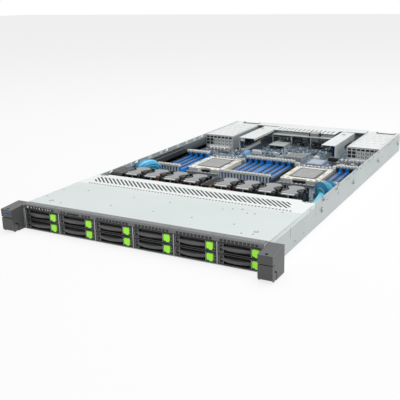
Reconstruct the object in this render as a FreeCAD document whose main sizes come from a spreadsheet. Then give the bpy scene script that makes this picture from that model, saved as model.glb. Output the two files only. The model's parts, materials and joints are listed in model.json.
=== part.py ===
import FreeCAD, Part
import Sketcher
import os
import re

# A one rack unit server without its rear lid. Millimetres. The drive bays face -Y, the power supplies
# +Y, and the pan lies on Z zero. X and Y are zero at the middle of the pan.

COLUMNS = 6
ROWS = 2
FANS = 8
FANS_LEFT_OF_POST = 4
BLADES = 5
SLOTS_PER_BANK = 8
STUDS_PER_SIDE = 4
BRIDGE_SLOTS = 14
STANDOFF_ROWS = 3
STANDOFF_SIDES = 6
BEZEL_VENTS = range(10)
BEZEL_VENTS_BY_TAG = [0, 1, 7, 8, 9]
SINK_FINS = 9
PIN_SIDES = 12
BORE_SIDES = 16

SIZES = {
    # Pan of folded sheet, with side walls that step in near the top to take the lids
    "chassis_width": 438.0,
    "chassis_depth": 815.0,
    "chassis_height": 43.5,
    "sheet": 1.2,
    "wall_step_height": 34.8,
    "hook_notch_width": 5.0,
    "hook_notch_depth": 4.6,
    "hook_notch_reach": 5.5,
    "hook_lip": 2.0,
    "key_hole_width": 4.0,
    "key_hole_length": 3.0,
    "key_hole_height": 36.2,
    "stud_radius": 3.5,
    "stud_length": 3.4,
    "stud_first": 235.0,
    "stud_rear_gap": 22.0,
    "stud_height": 22.0,
    # Front lid with its folded sides and its slanted air slots
    "lid_start": 13.3,
    "lid_end": 207.0,
    "lid_tongue_width": 390.0,
    "lid_tongue_depth": 7.0,
    "lid_vent_first": 161.0,
    "lid_vent_length": 26.0,
    "lid_vent_width": 3.0,
    "lid_vent_slant": 12.0,
    "lid_vent_pitch": 8.2,
    "lid_vent_count": 46.0,
    # Drive cage of two rows and six columns
    "bay_pitch": 72.0,
    "cage_sheet": 0.7,
    "cage_start": 2.0,
    "cage_depth": 116.0,
    "cage_gap": 0.3,
    "shelf_width": 9.0,
    # Bezel band above the trays
    "bezel_bottom": 36.3,
    "bezel_depth": 13.0,
    "bezel_front": 1.6,
    "bezel_slope": 2.0,
    "bezel_vent": 3.2,
    "bezel_vent_pitch": 6.1,
    "bezel_vent_first": 5.2,
    "bezel_vent_height": 37.0,
    "tag_slot_place": 17.4,
    "tag_slot_width": 25.0,
    "panel_first": 4.5,
    "panel_width": 60.0,
    "panel_depth": 9.0,
    "panel_floor": 36.6,
    "power_button_radius": 1.7,
    "power_button_length": 4.0,
    "power_button_stand": 0.5,
    "power_button_travel": 1.0,
    "power_button_place": 8.2,
    "power_button_height": 39.0,
    # Drive carrier and its drive
    "tray_height": 16.1,
    "tray_face": 0.6,
    "tray_front_depth": 7.4,
    "tray_rim": 1.2,
    "tray_back": 2.0,
    "rail": 0.4,
    "rail_height": 12.6,
    "rail_length": 104.0,
    "drive_length": 100.4,
    "drive_height": 14.8,
    "drive_gap": 0.3,
    "drive_seat": 0.3,
    "slot_start": 11.0,
    "slot_width": 37.6,
    "slot_height": 3.0,
    "lever_room_start": 4.4,
    "lever_room_end": 53.6,
    "lever_room_shoulder": 10.4,
    "button_room_start": 54.4,
    "button_room_width": 11.4,
    "button_room_height": 11.0,
    "button_room_floor": 2.9,
    # Tray lever
    "lever_pivot": 7.2,
    "lever_pivot_depth": 3.3,
    "lever_end": 52.8,
    "lever_height": 6.4,
    "lever_back": 5.3,
    "lever_rise": 5.2,
    "lever_lead": 0.4,
    "lever_shoulder": 9.1,
    "lever_shoulder_rise": 3.6,
    "lever_half_crown": 5.1,
    "lever_eye": 2.2,
    "lever_pin_radius": 1.0,
    "pin_gap": 0.1,
    # Release button
    "button_gap": 0.4,
    "button_stand": 1.2,
    "button_depth": 4.6,
    "button_edge": 0.8,
    # Rack ears and their hinged doors
    "ear_width": 22.3,
    "ear_reach": 27.0,
    "ear_back": 14.0,
    "ear_bottom": 0.7,
    "ear_top_front": 39.0,
    "ear_top_rear": 42.2,
    "ear_wall": 1.6,
    "ear_gap": 0.4,
    "ear_seam": 1.4,
    "ear_peep_radius": 2.6,
    "ear_peep_place": 4.6,
    "ear_split_height": 24.5,
    "ear_split_depth": 6.1,
    "ear_rib": 1.6,
    "ear_rib_inset": 3.2,
    "rack_hole_spacing": 465.1,
    "rack_hole_radius": 3.3,
    "rack_hole_height": 21.8,
    "door_pivot_depth": 7.2,
    "door_pivot_height": 7.4,
    "door_knuckle_radius": 6.3,
    "door_toe": 3.7,
    "door_pin_radius": 1.3,
    "door_pin_gap": 0.3,
    "socket_slot_width": 12.8,
    "socket_slot_height": 5.0,
    "socket_slot_depth": 12.0,
    "socket_slot_floor": 30.6,
    # Backplane behind the drives
    "backplane_thickness": 2.4,
    "backplane_margin": 2.0,
    "backplane_height": 33.0,
    "plug_width": 36.0,
    "plug_height": 5.0,
    "plug_gap": 0.4,
    "plug_reach": 4.0,
    "plug_floor": 1.0,
    "cable_plug_width": 24.0,
    "cable_plug_depth": 7.0,
    "cable_plug_height": 10.0,
    "cable_plug_floor": 14.0,
    # Fans
    "fan_width": 40.0,
    "fan_length": 56.0,
    "fan_front": 232.0,
    "fan_pitch": 43.0,
    "fan_left_group": -101.5,
    "fan_right_group": 92.5,
    "fan_bore_radius": 18.8,
    "fan_flange": 4.5,
    "fan_waist": 3.0,
    "fan_plate": 0.9,
    "fan_plate_neck": 18.0,
    "stator_radius": 9.5,
    "stator_length": 9.0,
    "stator_strut": 2.0,
    "rotor_start": 3.0,
    "rotor_hub_radius": 9.0,
    "rotor_length": 19.0,
    "rotor_gap": 0.6,
    "shaft_radius": 1.5,
    "shaft_length": 6.0,
    "shaft_gap": 0.3,
    "blade_root": 5.5,
    "blade_tip": 17.0,
    "blade_thickness": 1.6,
    "blade_half_sweep": 6.0,
    "blade_length": 16.0,
    "post_width": 19.0,
    "post_start": 242.0,
    "post_length": 59.0,
    "post_height": 36.0,
    "post_place": -5.5,
    "duct_width": 27.0,
    "duct_length": 56.0,
    "duct_floor": 24.0,
    "duct_top": 41.0,
    # Motherboard and what is soldered to it
    "board_thickness": 2.0,
    "standoff": 5.8,
    "standoff_radius": 3.0,
    "standoff_inset": 9.0,
    "standoff_pitch": 145.0,
    "board_start": 305.0,
    "board_supply_gap": 8.0,
    "board_rear_gap": 9.0,
    "board_side_gap": 4.5,
    "board_neck_gap": 6.3,
    "slot_pitch": 7.0,
    "slot_body_width": 6.2,
    "slot_body_length": 136.0,
    "slot_body_height": 8.6,
    "slot_tower_length": 6.5,
    "latch_length": 7.5,
    "latch_height": 21.0,
    "slot_foot": 2.4,
    "bank_start": 373.0,
    "left_bank_gap": 50.0,
    "centre_bank": 9.5,
    "right_bank_gap": 32.7,
    "socket_frame_width": 80.0,
    "socket_frame_length": 102.0,
    "socket_frame_height": 10.4,
    "socket_window_width": 50.0,
    "socket_window_length": 62.0,
    "socket_lid_width": 56.0,
    "socket_lid_length": 66.0,
    "socket_lid_height": 2.2,
    "socket_start": 402.0,
    "left_socket": -97.5,
    "right_socket": 114.0,
    "socket_bite_radius": 11.4,
    "socket_notch_width": 40.0,
    "socket_notch_depth": 6.4,
    "socket_foot": 1.6,
    "sink_width": 40.0,
    "sink_length": 46.0,
    "sink_height": 13.0,
    "sink_fin": 1.6,
    "sink_pitch": 4.8,
    "sink_base": 3.0,
    "sink_place": 40.0,
    "sink_start": 560.0,
    "port_depth": 17.0,
    "port_wall": 1.0,
    # Risers over the expansion cards
    "riser_lead": 2.0,
    "riser_strip_gap": 1.0,
    "riser_top": 42.2,
    "left_riser_width": 41.0,
    "right_riser_width": 32.0,
    "left_riser_gap": 21.3,
    "right_riser_gap": 24.3,
    "riser_lip": 5.0,
    "riser_board": 1.6,
    "riser_board_height": 27.0,
    "riser_board_length": 96.0,
    "riser_board_inset": 6.0,
    "riser_board_lead": 4.0,
    "riser_window_rear_gap": 22.0,
    "riser_window_floor": 4.0,
    "riser_window_length": 60.0,
    "riser_window_height": 14.0,
    # Rear wall, its windows and its bridge
    "card_window_width": 78.0,
    "card_window_height": 15.5,
    "card_window_floor": 23.5,
    "card_window_gap": 6.3,
    "card_cover": 0.8,
    "card_cover_gap": 0.3,
    "network_window_height": 12.0,
    "network_window_floor": 8.0,
    "bridge_width": 160.0,
    "bridge_depth": 80.0,
    "strip_depth": 38.0,
    "bridge_slot_width": 3.2,
    "bridge_slot_length": 28.0,
    "bridge_slot_lead": 6.0,
    "bridge_slot_pitch": 10.6,
    # Power supplies
    "supply_width": 73.5,
    "supply_length": 185.0,
    "supply_height": 40.0,
    "supply_gap": 0.4,
    "supply_plug_width": 56.0,
    "supply_plug_depth": 7.0,
    "supply_plug_height": 6.0,
    "supply_plug_floor": 5.0,
    "handle_reach": 27.0,
    "handle_width": 44.0,
    "handle_bar": 5.0,
    "handle_height": 3.5,
    "handle_floor": 30.0,
    "inlet_width": 27.0,
    "inlet_height": 19.5,
    "inlet_depth": 17.0,
    "inlet_floor": 5.0,
    "inlet_place": -18.0,
    "grille_radius": 15.0,
    "grille_depth": 4.0,
    "grille_place": 17.5,
    "grille_height": 17.5,
    # Cable looms along the walls
    "loom_width": 22.0,
    "loom_thickness": 5.0,
    "loom_wall_gap": 18.0,
    "loom_height": 16.5,
    "loom_hump": 33.0,
    "loom_end": 352.0,
    "loom_bend": 13.0,
    "loom_plug_width": 26.0,
    "loom_plug_length": 12.0,
    "loom_plug_height": 5.0,
}

# Hooks for the rear lid and key holes for the side rails, as distances from the front of the pan
HOOKS = [240.0, 328.0, 447.0, 610.0, 748.0]
KEY_HOLES = [307.0, 376.0, 421.0, 490.0, 530.0, 568.0]

# Ports on the rear wall: middle, width, height and floor of each
PORTS = [
    (-38.0, 16.0, 14.0, 9.5),
    (-18.0, 16.0, 14.0, 9.5),
    (1.0, 15.0, 15.5, 9.5),
    (27.0, 31.0, 12.0, 9.5),
]

# Places worked out from the sizes above
PLACES = {
    "front": "-chassis_depth / 2",
    "rear": "chassis_depth / 2",
    "half_width": "chassis_width / 2",
    "wall_inside": "half_width - sheet",
    "wall_top_inside": "wall_inside - sheet",
    "lid_bottom": "chassis_height - sheet",
    "bay_width": "bay_pitch - cage_sheet",
    "tray_width": "bay_width - 2 * cage_gap",
    "tray_edge": "cage_sheet / 2 + cage_gap",
    "lower_tray": "sheet + cage_gap",
    "shelf": "lower_tray + tray_height + cage_gap",
    "upper_tray": "shelf + cage_sheet + cage_gap",
    "row_pitch": "upper_tray - lower_tray",
    "cage_top": "upper_tray + tray_height + cage_gap",
    "cage_end": "cage_start + cage_depth",
    "tray_middle": "tray_height / 2",
    "tray_back_face": "tray_face + tray_front_depth",
    "pocket_floor": "tray_back_face - tray_back",
    "drive_start": "tray_back_face + drive_gap",
    "lever_length": "lever_end - lever_pivot",
    "button_width": "button_room_width - 2 * button_gap",
    "button_height": "button_room_height - 2 * button_gap",
    "ear_front": "front - ear_reach",
    "ear_inside": "half_width",
    "ear_outside": "half_width + ear_width",
    "split": "ear_split_depth - ear_reach",
    "pivot_y": "door_pivot_depth - ear_reach",
    "toe_above_pivot": "door_pivot_height - ear_bottom - door_toe",
    "door_sweep": "(door_pivot_depth ^ 2 + toe_above_pivot ^ 2) ^ 0.5",
    "plug_start": "drive_start + drive_length - plug_reach + plug_gap",
    "backplane_front": "cage_end + cage_gap",
    "backplane_rear": "backplane_front + backplane_thickness",
    "stator_front": "rotor_start + rotor_length + rotor_gap",
    "board_top": "sheet + standoff + board_thickness",
    "supply_middle": "wall_top_inside - supply_gap - supply_width / 2",
    "supply_floor": "sheet + supply_gap",
    "partition": "wall_top_inside - 2 * supply_gap - supply_width",
    "loom_start": "backplane_rear + cable_plug_depth",
    "loom_place": "half_width - loom_wall_gap",
    "stud_pitch": f"(chassis_depth - stud_first - stud_rear_gap) / {STUDS_PER_SIDE - 1}",
    "board_width": "chassis_width - 2 * board_side_gap",
    "board_neck_width": "2 * (partition - board_neck_gap)",
    "board_shoulder": "chassis_depth - supply_length - board_supply_gap",
    "board_end": "chassis_depth - board_rear_gap",
    "left_bank": "left_bank_gap - half_width",
    "right_bank": "half_width - right_bank_gap",
    "riser_start": "board_shoulder - riser_lead",
    "riser_end": "chassis_depth - strip_depth - riser_strip_gap",
    "left_riser": "left_riser_gap - partition",
    "right_riser": "partition - right_riser_gap - right_riser_width",
    "card_window_place": "partition - card_window_gap - card_window_width / 2",
    "fan_edge": f"fan_left_group - {(FANS_LEFT_OF_POST - 1) / 2} * fan_pitch - fan_width / 2",
}

doc = FreeCAD.newDocument("RackServer")
sheet = doc.addObject("Spreadsheet::Sheet", "Sizes")
for row, (alias, size) in enumerate(SIZES.items(), start=1):
    sheet.set(f"A{row}", alias)
    sheet.set(f"B{row}", str(size))
    sheet.setAlias(f"B{row}", alias)
doc.recompute()

NODES = []
WORD = re.compile(r"[a-z][a-z_]*")


def formula(text):
    """Write out a formula, with its places worked out and its sizes read from the sheet."""

    def look_up(found):
        word = found.group()
        if word in PLACES:
            return "(" + formula(PLACES[word]) + ")"
        if word not in SIZES:
            raise KeyError(word)
        return "Sizes." + word

    return WORD.sub(look_up, str(text))


def number(text):
    """The present value of a formula."""
    return float(sheet.evalExpression(formula(text)))


def bind(item, **formulas):
    """Tie properties to formulas; a double underscore stands for a dot in the property's path."""
    for path, text in formulas.items():
        item.setExpression(path.replace("__", "."), formula(text))
    return item


def place(item, at, turn=None):
    """Stand an item at a point given as three formulas, turned about an axis through that point."""
    if turn:
        axis, degrees = turn
        item.Placement = FreeCAD.Placement(FreeCAD.Vector(), FreeCAD.Rotation(FreeCAD.Vector(*axis), degrees))
    return bind(item, Placement__Base__x=at[0], Placement__Base__y=at[1], Placement__Base__z=at[2])


TOWARDS_REAR = ((1, 0, 0), -90)
TOWARDS_RIGHT = ((0, 1, 0), 90)


def box(name, at, size):
    """A block from its lowest corner and its three sizes."""
    item = doc.addObject("Part::Box", name)
    bind(item, Length=size[0], Width=size[1], Height=size[2])
    return place(item, at)


def rod(name, at, radius, length, turn=None):
    """A round bar that stands up from a point, or is turned to lie along another axis."""
    item = doc.addObject("Part::Cylinder", name)
    bind(item, Radius=radius, Height=length)
    return place(item, at, turn)


def prism(name, at, sides, radius, length, turn=None):
    """A bar with flat sides, measured over its corners."""
    item = doc.addObject("Part::Prism", name)
    item.Polygon = sides
    bind(item, Circumradius=radius, Height=length)
    return place(item, at, turn)


def fuse(name, items):
    """Several solids that touch, joined into one."""
    item = doc.addObject("Part::MultiFuse", name)
    item.Shapes = items
    item.Refine = True
    return item


def cut(name, base, tools):
    """A solid with several others, clear of each other, taken away."""
    tool = tools[0]
    if len(tools) > 1:
        tool = doc.addObject("Part::Compound", name + "_tools")
        tool.Links = tools
    item = doc.addObject("Part::Cut", name)
    item.Base = base
    item.Tool = tool
    item.Refine = True
    return item


def mirror(name, source):
    """The same thing on the other side of the middle plane."""
    item = doc.addObject("Part::Mirroring", name)
    item.Source = source
    item.Base = (0, 0, 0)
    item.Normal = (1, 0, 0)
    return item


def node(name, items, at=("0", "0", "0"), turn=None):
    """A named sub-part that holds one or more solids at its place in the server."""
    item = doc.addObject("Part::Compound", name)
    item.Label = name
    item.Links = items
    place(item, at, turn)
    NODES.append(item)
    return item


def origin_part(body, role):
    """One of a body's own planes or axes."""
    return next(item for item in body.Origin.OriginFeatures if item.Role == role)


def sketch_on(body, name, role, lift):
    """An empty sketch on one of a body's planes, lifted along that plane's normal."""
    sketch = body.newObject("Sketcher::SketchObject", name)
    sketch.AttachmentSupport = [(origin_part(body, role), "")]
    sketch.MapMode = "FlatFace"
    return bind(sketch, AttachmentOffset__Base__z=lift)


def outline(body, name, role, points, lift="0"):
    """A closed sketch of straight lines through points given as pairs of formulas."""
    sketch = sketch_on(body, name, role, lift)
    corners = [FreeCAD.Vector(number(across), number(up), 0) for across, up in points]
    count = len(corners)
    for index in range(count):
        sketch.addGeometry(Part.LineSegment(corners[index], corners[(index + 1) % count]), False)
    for index in range(count):
        sketch.addConstraint(Sketcher.Constraint("Coincident", index, 2, (index + 1) % count, 1))
    for index, (across, up) in enumerate(points):
        for kind, text in (("DistanceX", across), ("DistanceY", up)):
            datum = sketch.addConstraint(Sketcher.Constraint(kind, -1, 1, index, 1, number(text)))
            sketch.setExpression(f"Constraints[{datum}]", formula(text))
    return sketch


def pad(body, name, sketch, length, backwards=False):
    """A solid raised from a sketch."""
    item = body.newObject("PartDesign::Pad", name)
    item.Profile = sketch
    item.Reversed = backwards
    bind(item, Length=length)
    body.Tip = item
    return item


def pocket(body, name, sketch, length, backwards=False):
    """A recess sunk from a sketch."""
    item = body.newObject("PartDesign::Pocket", name)
    item.Profile = sketch
    item.Reversed = backwards
    bind(item, Length=length)
    body.Tip = item
    return item


def rectangle(left, bottom, width, height):
    """The four corners of an upright rectangle, as formulas."""
    right = f"{left} + {width}"
    top = f"{bottom} + {height}"
    return [(left, bottom), (right, bottom), (right, top), (left, top)]


def side_wall():
    """Left wall, which steps in near the top, with hook notches and key holes for the rear lid."""
    body = doc.addObject("PartDesign::Body", "side_wall")
    profile = outline(body, "side_wall_profile", "XZ_Plane", [
        ("-half_width", "0"),
        ("-wall_inside", "0"),
        ("-wall_inside", "wall_step_height - sheet"),
        ("-wall_top_inside", "wall_step_height - sheet"),
        ("-wall_top_inside", "lid_bottom"),
        ("-wall_inside", "lid_bottom"),
        ("-wall_inside", "wall_step_height"),
        ("-half_width", "wall_step_height"),
    ], lift="front * -1")
    pad(body, "side_wall_sheet", profile, "chassis_depth", backwards=True)
    holes = []
    for index, distance in enumerate(HOOKS):
        at = f"front + {distance}"
        holes.append(fuse(f"hook_{index}", [
            box(f"hook_mouth_{index}", ("-half_width - sheet", at, "lid_bottom - hook_notch_depth"),
                ("4 * sheet", "hook_notch_width", "hook_notch_depth + sheet")),
            box(f"hook_seat_{index}", ("-half_width - sheet", f"{at} - hook_notch_reach",
                                       "lid_bottom - hook_notch_depth"),
                ("4 * sheet", "hook_notch_reach + sheet", "hook_notch_depth - hook_lip")),
        ]))
    for index, distance in enumerate(KEY_HOLES):
        holes.append(box(f"key_hole_{index}", ("-half_width - sheet", f"front + {distance}", "key_hole_height"),
                         ("4 * sheet", "key_hole_length", "key_hole_width")))
    return cut("wall", body, holes)


def chassis_tray():
    """Pan of floor, walls and rear wall, with supply partitions, rail studs and board standoffs."""
    wall = side_wall()
    pieces = [box("floor", ("-wall_inside", "front", "0"), ("2 * wall_inside", "chassis_depth", "sheet")),
              wall, mirror("wall_mirrored", wall)]
    pieces.extend(rear_wall())
    for side, sign in (("left", "-"), ("right", "")):
        at = "-partition" if sign else "partition - sheet"
        pieces.append(box(f"partition_{side}", (at, "rear - supply_length", "sheet"),
                          ("sheet", "supply_length", "supply_height - sheet")))
        for index in range(STUDS_PER_SIDE):
            x = "half_width" if side == "right" else "-half_width - stud_length"
            y = f"front + stud_first + {index} * stud_pitch"
            pieces.append(rod(f"stud_{side}_{index}", (x, y, "stud_height"), "stud_radius", "stud_length",
                              TOWARDS_RIGHT))
    for across in (-1, 1):
        for along in range(STANDOFF_ROWS):
            x = f"{across} * (board_width / 2 - standoff_inset)"
            y = f"front + board_start + standoff_inset + {along} * standoff_pitch"
            pieces.append(prism(f"standoff_{across}_{along}", (x, y, "sheet"), STANDOFF_SIDES, "standoff_radius",
                                "standoff"))
    node("chassis_tray", pieces)


def rear_wall():
    """Wall with windows for ports, blanking plates in its card windows, and the bridge on its top edge."""
    wall = box("rear_sheet", ("sheet - partition", "rear - sheet", "sheet"),
               ("2 * (partition - sheet)", "sheet", "lid_bottom - sheet"))
    windows = []
    covers = []
    for side, sign in (("left", "-"), ("right", "")):
        x = f"{sign}card_window_place - card_window_width / 2"
        for kind in ("card", "network"):
            windows.append(box(f"{kind}_window_{side}", (x, "rear - 2 * sheet", f"{kind}_window_floor"),
                               ("card_window_width", "3 * sheet", f"{kind}_window_height")))
            covers.append(box(f"{kind}_cover_{side}", (f"{x} + card_cover_gap", "rear - sheet",
                                                       f"{kind}_window_floor + card_cover_gap"),
                              ("card_window_width - 2 * card_cover_gap", "card_cover",
                               f"{kind}_window_height - 2 * card_cover_gap")))
    for index, (middle, width, height, floor) in enumerate(PORTS):
        windows.append(box(f"port_window_{index}", (f"{middle - width / 2}", "rear - 2 * sheet", f"{floor}"),
                           (f"{width}", "3 * sheet", f"{height}")))
    bridge = fuse("bridge_sheet", [
        box("bridge_strip", ("-partition", "rear - strip_depth", "lid_bottom"),
            ("2 * partition", "strip_depth", "sheet")),
        box("bridge_band", ("-bridge_width / 2", "rear - bridge_depth", "lid_bottom"),
            ("bridge_width", "bridge_depth", "sheet")),
    ])
    slots = []
    for index in range(BRIDGE_SLOTS):
        x = f"{index - (BRIDGE_SLOTS - 1) / 2} * bridge_slot_pitch - bridge_slot_width / 2"
        slots.append(box(f"bridge_slot_{index}",
                         (x, "rear - bridge_depth + bridge_slot_lead", "lid_bottom - sheet"),
                         ("bridge_slot_width", "bridge_slot_length", "3 * sheet")))
    return [cut("rear_wall", wall, windows), cut("bridge", bridge, slots)] + covers


def front_cover():
    """Lid over the drive cage, folded down over the stepped walls, with one row of slanted slots."""
    body = doc.addObject("PartDesign::Body", "lid")
    profile = outline(body, "lid_profile", "XZ_Plane", [
        ("-half_width", "wall_step_height + cage_gap"),
        ("-half_width", "chassis_height"),
        ("half_width", "chassis_height"),
        ("half_width", "wall_step_height + cage_gap"),
        ("wall_inside", "wall_step_height + cage_gap"),
        ("wall_inside", "lid_bottom"),
        ("-wall_inside", "lid_bottom"),
        ("-wall_inside", "wall_step_height + cage_gap"),
    ], lift="-(front + lid_start)")
    pad(body, "lid_sheet", profile, "lid_end - lid_start - lid_tongue_depth", backwards=True)
    tongue = outline(body, "tongue_outline", "XY_Plane",
                     rectangle("-lid_tongue_width / 2", "front + lid_end - lid_tongue_depth - 1",
                               "lid_tongue_width", "lid_tongue_depth + 1"), lift="lid_bottom")
    pad(body, "tongue", tongue, "sheet")
    start = "-(lid_vent_count - 1) * lid_vent_pitch / 2 - lid_vent_width / 2 - lid_vent_slant / 2"
    low = "front + lid_vent_first"
    high = "front + lid_vent_first + lid_vent_length"
    slot = outline(body, "vent_outline", "XY_Plane", [
        (f"{start} + lid_vent_slant", low),
        (f"{start} + lid_vent_slant + lid_vent_width", low),
        (f"{start} + lid_vent_width", high),
        (start, high),
    ], lift="chassis_height")
    first = pocket(body, "vent", slot, "2 * sheet")
    row = body.newObject("PartDesign::LinearPattern", "vents")
    row.Originals = [first]
    row.Direction = (origin_part(body, "X_Axis"), [""])
    bind(row, Length="(lid_vent_count - 1) * lid_vent_pitch", Occurrences="lid_vent_count")
    body.Tip = row
    node("front_cover", [body])


def drive_cage():
    """Thin sheets of the cage round the twelve bays, and the bezel band above them."""
    pieces = [box("cage_roof", (f"-({COLUMNS / 2} * bay_pitch + cage_sheet / 2)", "front + cage_start",
                                "cage_top"),
                  (f"{COLUMNS} * bay_pitch + cage_sheet", "cage_depth", "cage_sheet"))]
    for index in range(COLUMNS + 1):
        x = f"{index - COLUMNS / 2} * bay_pitch"
        pieces.append(box(f"divider_{index}", (f"{x} - cage_sheet / 2", "front + cage_start", "sheet"),
                          ("cage_sheet", "cage_depth", "cage_top - sheet")))
        for side, start in (("left", "-cage_sheet / 2 - shelf_width"), ("right", "cage_sheet / 2")):
            if (index == 0 and side == "left") or (index == COLUMNS and side == "right"):
                continue
            pieces.append(box(f"shelf_{side}_{index}", (f"{x} + {start}", "front + cage_start", "shelf"),
                              ("shelf_width", "cage_depth", "cage_sheet")))
    node("drive_cage", pieces + [bezel()])


def bezel():
    """Band with square vents, a tag slot and the control panel with the power button's hole."""
    body = doc.addObject("PartDesign::Body", "bezel_band")
    profile = outline(body, "bezel_profile", "YZ_Plane", [
        ("front", "bezel_bottom"),
        ("front + bezel_front", "bezel_bottom"),
        ("front + bezel_front", "lid_bottom - bezel_slope"),
        ("front + bezel_front + bezel_slope", "lid_bottom"),
        ("front + bezel_depth", "lid_bottom"),
        ("front + bezel_depth", "chassis_height"),
        ("front + bezel_slope", "chassis_height"),
        ("front", "chassis_height - bezel_slope"),
    ], lift="cage_gap - wall_top_inside")
    pad(body, "bezel_sheet", profile, "2 * (wall_top_inside - cage_gap)")
    panel = box("panel_block", ("panel_first - 3 * bay_pitch", "front", "panel_floor"),
                ("panel_width", "panel_depth", "chassis_height - bezel_slope - panel_floor"))
    room = "power_button_radius + button_gap"
    holes = [rod("power_button_room",
                 ("power_button_place - 3 * bay_pitch", "front - 1", "power_button_height"),
                 room, "power_button_length + power_button_travel + 2", TOWARDS_REAR)]
    for column in range(1, COLUMNS):
        left = f"{column - COLUMNS / 2} * bay_pitch + bezel_vent_first"
        vents = BEZEL_VENTS if column > 1 else BEZEL_VENTS_BY_TAG
        for index in vents:
            holes.append(box(f"bezel_vent_{column}_{index}",
                             (f"{left} + {index} * bezel_vent_pitch", "front - 1", "bezel_vent_height"),
                             ("bezel_vent", "bezel_front + 2", "bezel_vent")))
    holes.append(box("tag_slot", ("tag_slot_place - 2 * bay_pitch", "front - 1", "bezel_vent_height"),
                     ("tag_slot_width", "bezel_front + 2", "bezel_vent")))
    return cut("bezel", fuse("bezel_solid", [body, panel]), holes)


def power_button():
    """Round button in the control panel."""
    button = rod("power_cap", ("0", "-power_button_stand", "0"), "power_button_radius", "power_button_length",
                 TOWARDS_REAR)
    node("power_button", [button], ("power_button_place - 3 * bay_pitch", "front", "power_button_height"))


def drive_carrier():
    """Carrier face with its two air slots and the rooms for lever and button, and its side rails."""
    face = box("carrier_face", ("tray_edge", "tray_face", "0"), ("tray_width", "tray_front_depth", "tray_height"))
    rooms = [
        fuse("lever_room", [
            box("lever_room_wide", ("lever_room_shoulder", "tray_face - 1", "tray_rim"),
                ("lever_room_end - lever_room_shoulder", "pocket_floor - tray_face + 1",
                 "tray_height - 2 * tray_rim")),
            box("lever_room_narrow", ("lever_room_start", "tray_face - 1",
                                      "tray_middle - lever_height / 2 - cage_gap"),
                ("lever_room_shoulder - lever_room_start + 1", "pocket_floor - tray_face + 1",
                 "lever_height + 2 * cage_gap")),
            box("air_slot_low", ("slot_start", "tray_face", "tray_rim + cage_gap"),
                ("slot_width", "tray_front_depth + 1", "slot_height")),
            box("air_slot_high", ("slot_start", "tray_face",
                                  "tray_height - tray_rim - cage_gap - slot_height"),
                ("slot_width", "tray_front_depth + 1", "slot_height")),
        ]),
        box("button_room", ("button_room_start", "tray_face - 1", "button_room_floor"),
            ("button_room_width", "pocket_floor - tray_face + 1", "button_room_height")),
    ]
    pieces = [cut("carrier_front", face, rooms)]
    for side, x in (("left", "tray_edge"), ("right", "tray_edge + tray_width - rail")):
        pieces.append(box(f"rail_{side}", (x, "tray_back_face", "(tray_height - rail_height) / 2"),
                          ("rail", "rail_length", "rail_height")))
    pieces.append(prism("lever_pin", ("lever_pivot", "lever_pivot_depth",
                                      "tray_middle - lever_height / 2 - cage_gap"),
                        PIN_SIDES, "lever_pin_radius", "lever_height + 2 * cage_gap"))
    return fuse("carrier", pieces)


def drive():
    """Drive that lies between the rails, with the notch of its plug."""
    case = box("drive_case", ("tray_edge + rail", "drive_start", "drive_seat"),
               ("tray_width - 2 * rail", "drive_length", "drive_height"))
    notch = box("drive_notch", ("bay_pitch / 2 - plug_width / 2", "plug_start - plug_gap",
                                "drive_seat + plug_floor"),
                ("plug_width", "2 * plug_reach", "plug_height"))
    return cut("drive", case, [notch])


def tray_lever():
    """Bowed lever that turns on the pin at the left of the carrier's face."""
    body = doc.addObject("PartDesign::Body", "lever_bar")
    middle = "lever_pivot + lever_length / 2"
    pad(body, "lever_blade", outline(body, "lever_outline", "XY_Plane", [
        ("lever_pivot - lever_eye", "lever_pivot_depth - lever_eye / 2"),
        ("lever_pivot - lever_eye / 2", "lever_pivot_depth - lever_eye"),
        ("lever_pivot + lever_shoulder", "lever_lead - lever_shoulder_rise"),
        (f"{middle} - lever_half_crown", "lever_lead - lever_rise"),
        (f"{middle} + lever_half_crown", "lever_lead - lever_rise"),
        ("lever_end - lever_shoulder", "lever_lead - lever_shoulder_rise"),
        ("lever_end", "lever_lead"),
        ("lever_end", "lever_back"),
        ("lever_pivot - lever_eye / 2", "lever_back"),
        ("lever_pivot - lever_eye", "lever_back - lever_eye / 2"),
    ], lift="tray_middle - lever_height / 2"), "lever_height")
    hole = prism("lever_hole", ("lever_pivot", "lever_pivot_depth", "tray_middle - lever_height"),
                 PIN_SIDES, "lever_pin_radius + pin_gap", "2 * lever_height")
    return cut("lever", body, [hole])


def release_button():
    """Square button with a bevelled face."""
    body = doc.addObject("PartDesign::Body", "button")
    square = outline(body, "button_outline", "XZ_Plane",
                     rectangle("button_room_start + button_gap", "button_room_floor + button_gap",
                               "button_width", "button_height"), lift="button_stand - tray_face")
    block = pad(body, "button_block", square, "button_depth", backwards=True)
    doc.recompute()
    faces = block.Shape.Faces
    front_face = min(range(len(faces)), key=lambda index: faces[index].CenterOfMass.y)
    bevel = body.newObject("PartDesign::Chamfer", "button_bevel")
    bevel.Base = (block, [f"Face{front_face + 1}"])
    bind(bevel, Size="button_edge")
    body.Tip = bevel
    return body


def drive_trays():
    """Twelve trays, each with its own lever and release button."""
    carrier = drive_carrier()
    disk = drive()
    lever = tray_lever()
    button = release_button()
    for row in range(ROWS):
        for column in range(COLUMNS):
            name = f"{row * COLUMNS + column + 1:02d}"
            at = (f"{column - COLUMNS / 2} * bay_pitch", "front", f"lower_tray + {row} * row_pitch")
            node(f"drive_tray_{name}", [carrier, disk], at)
            node(f"tray_lever_{name}", [lever], at)
            node(f"release_button_{name}", [button], at)


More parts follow.
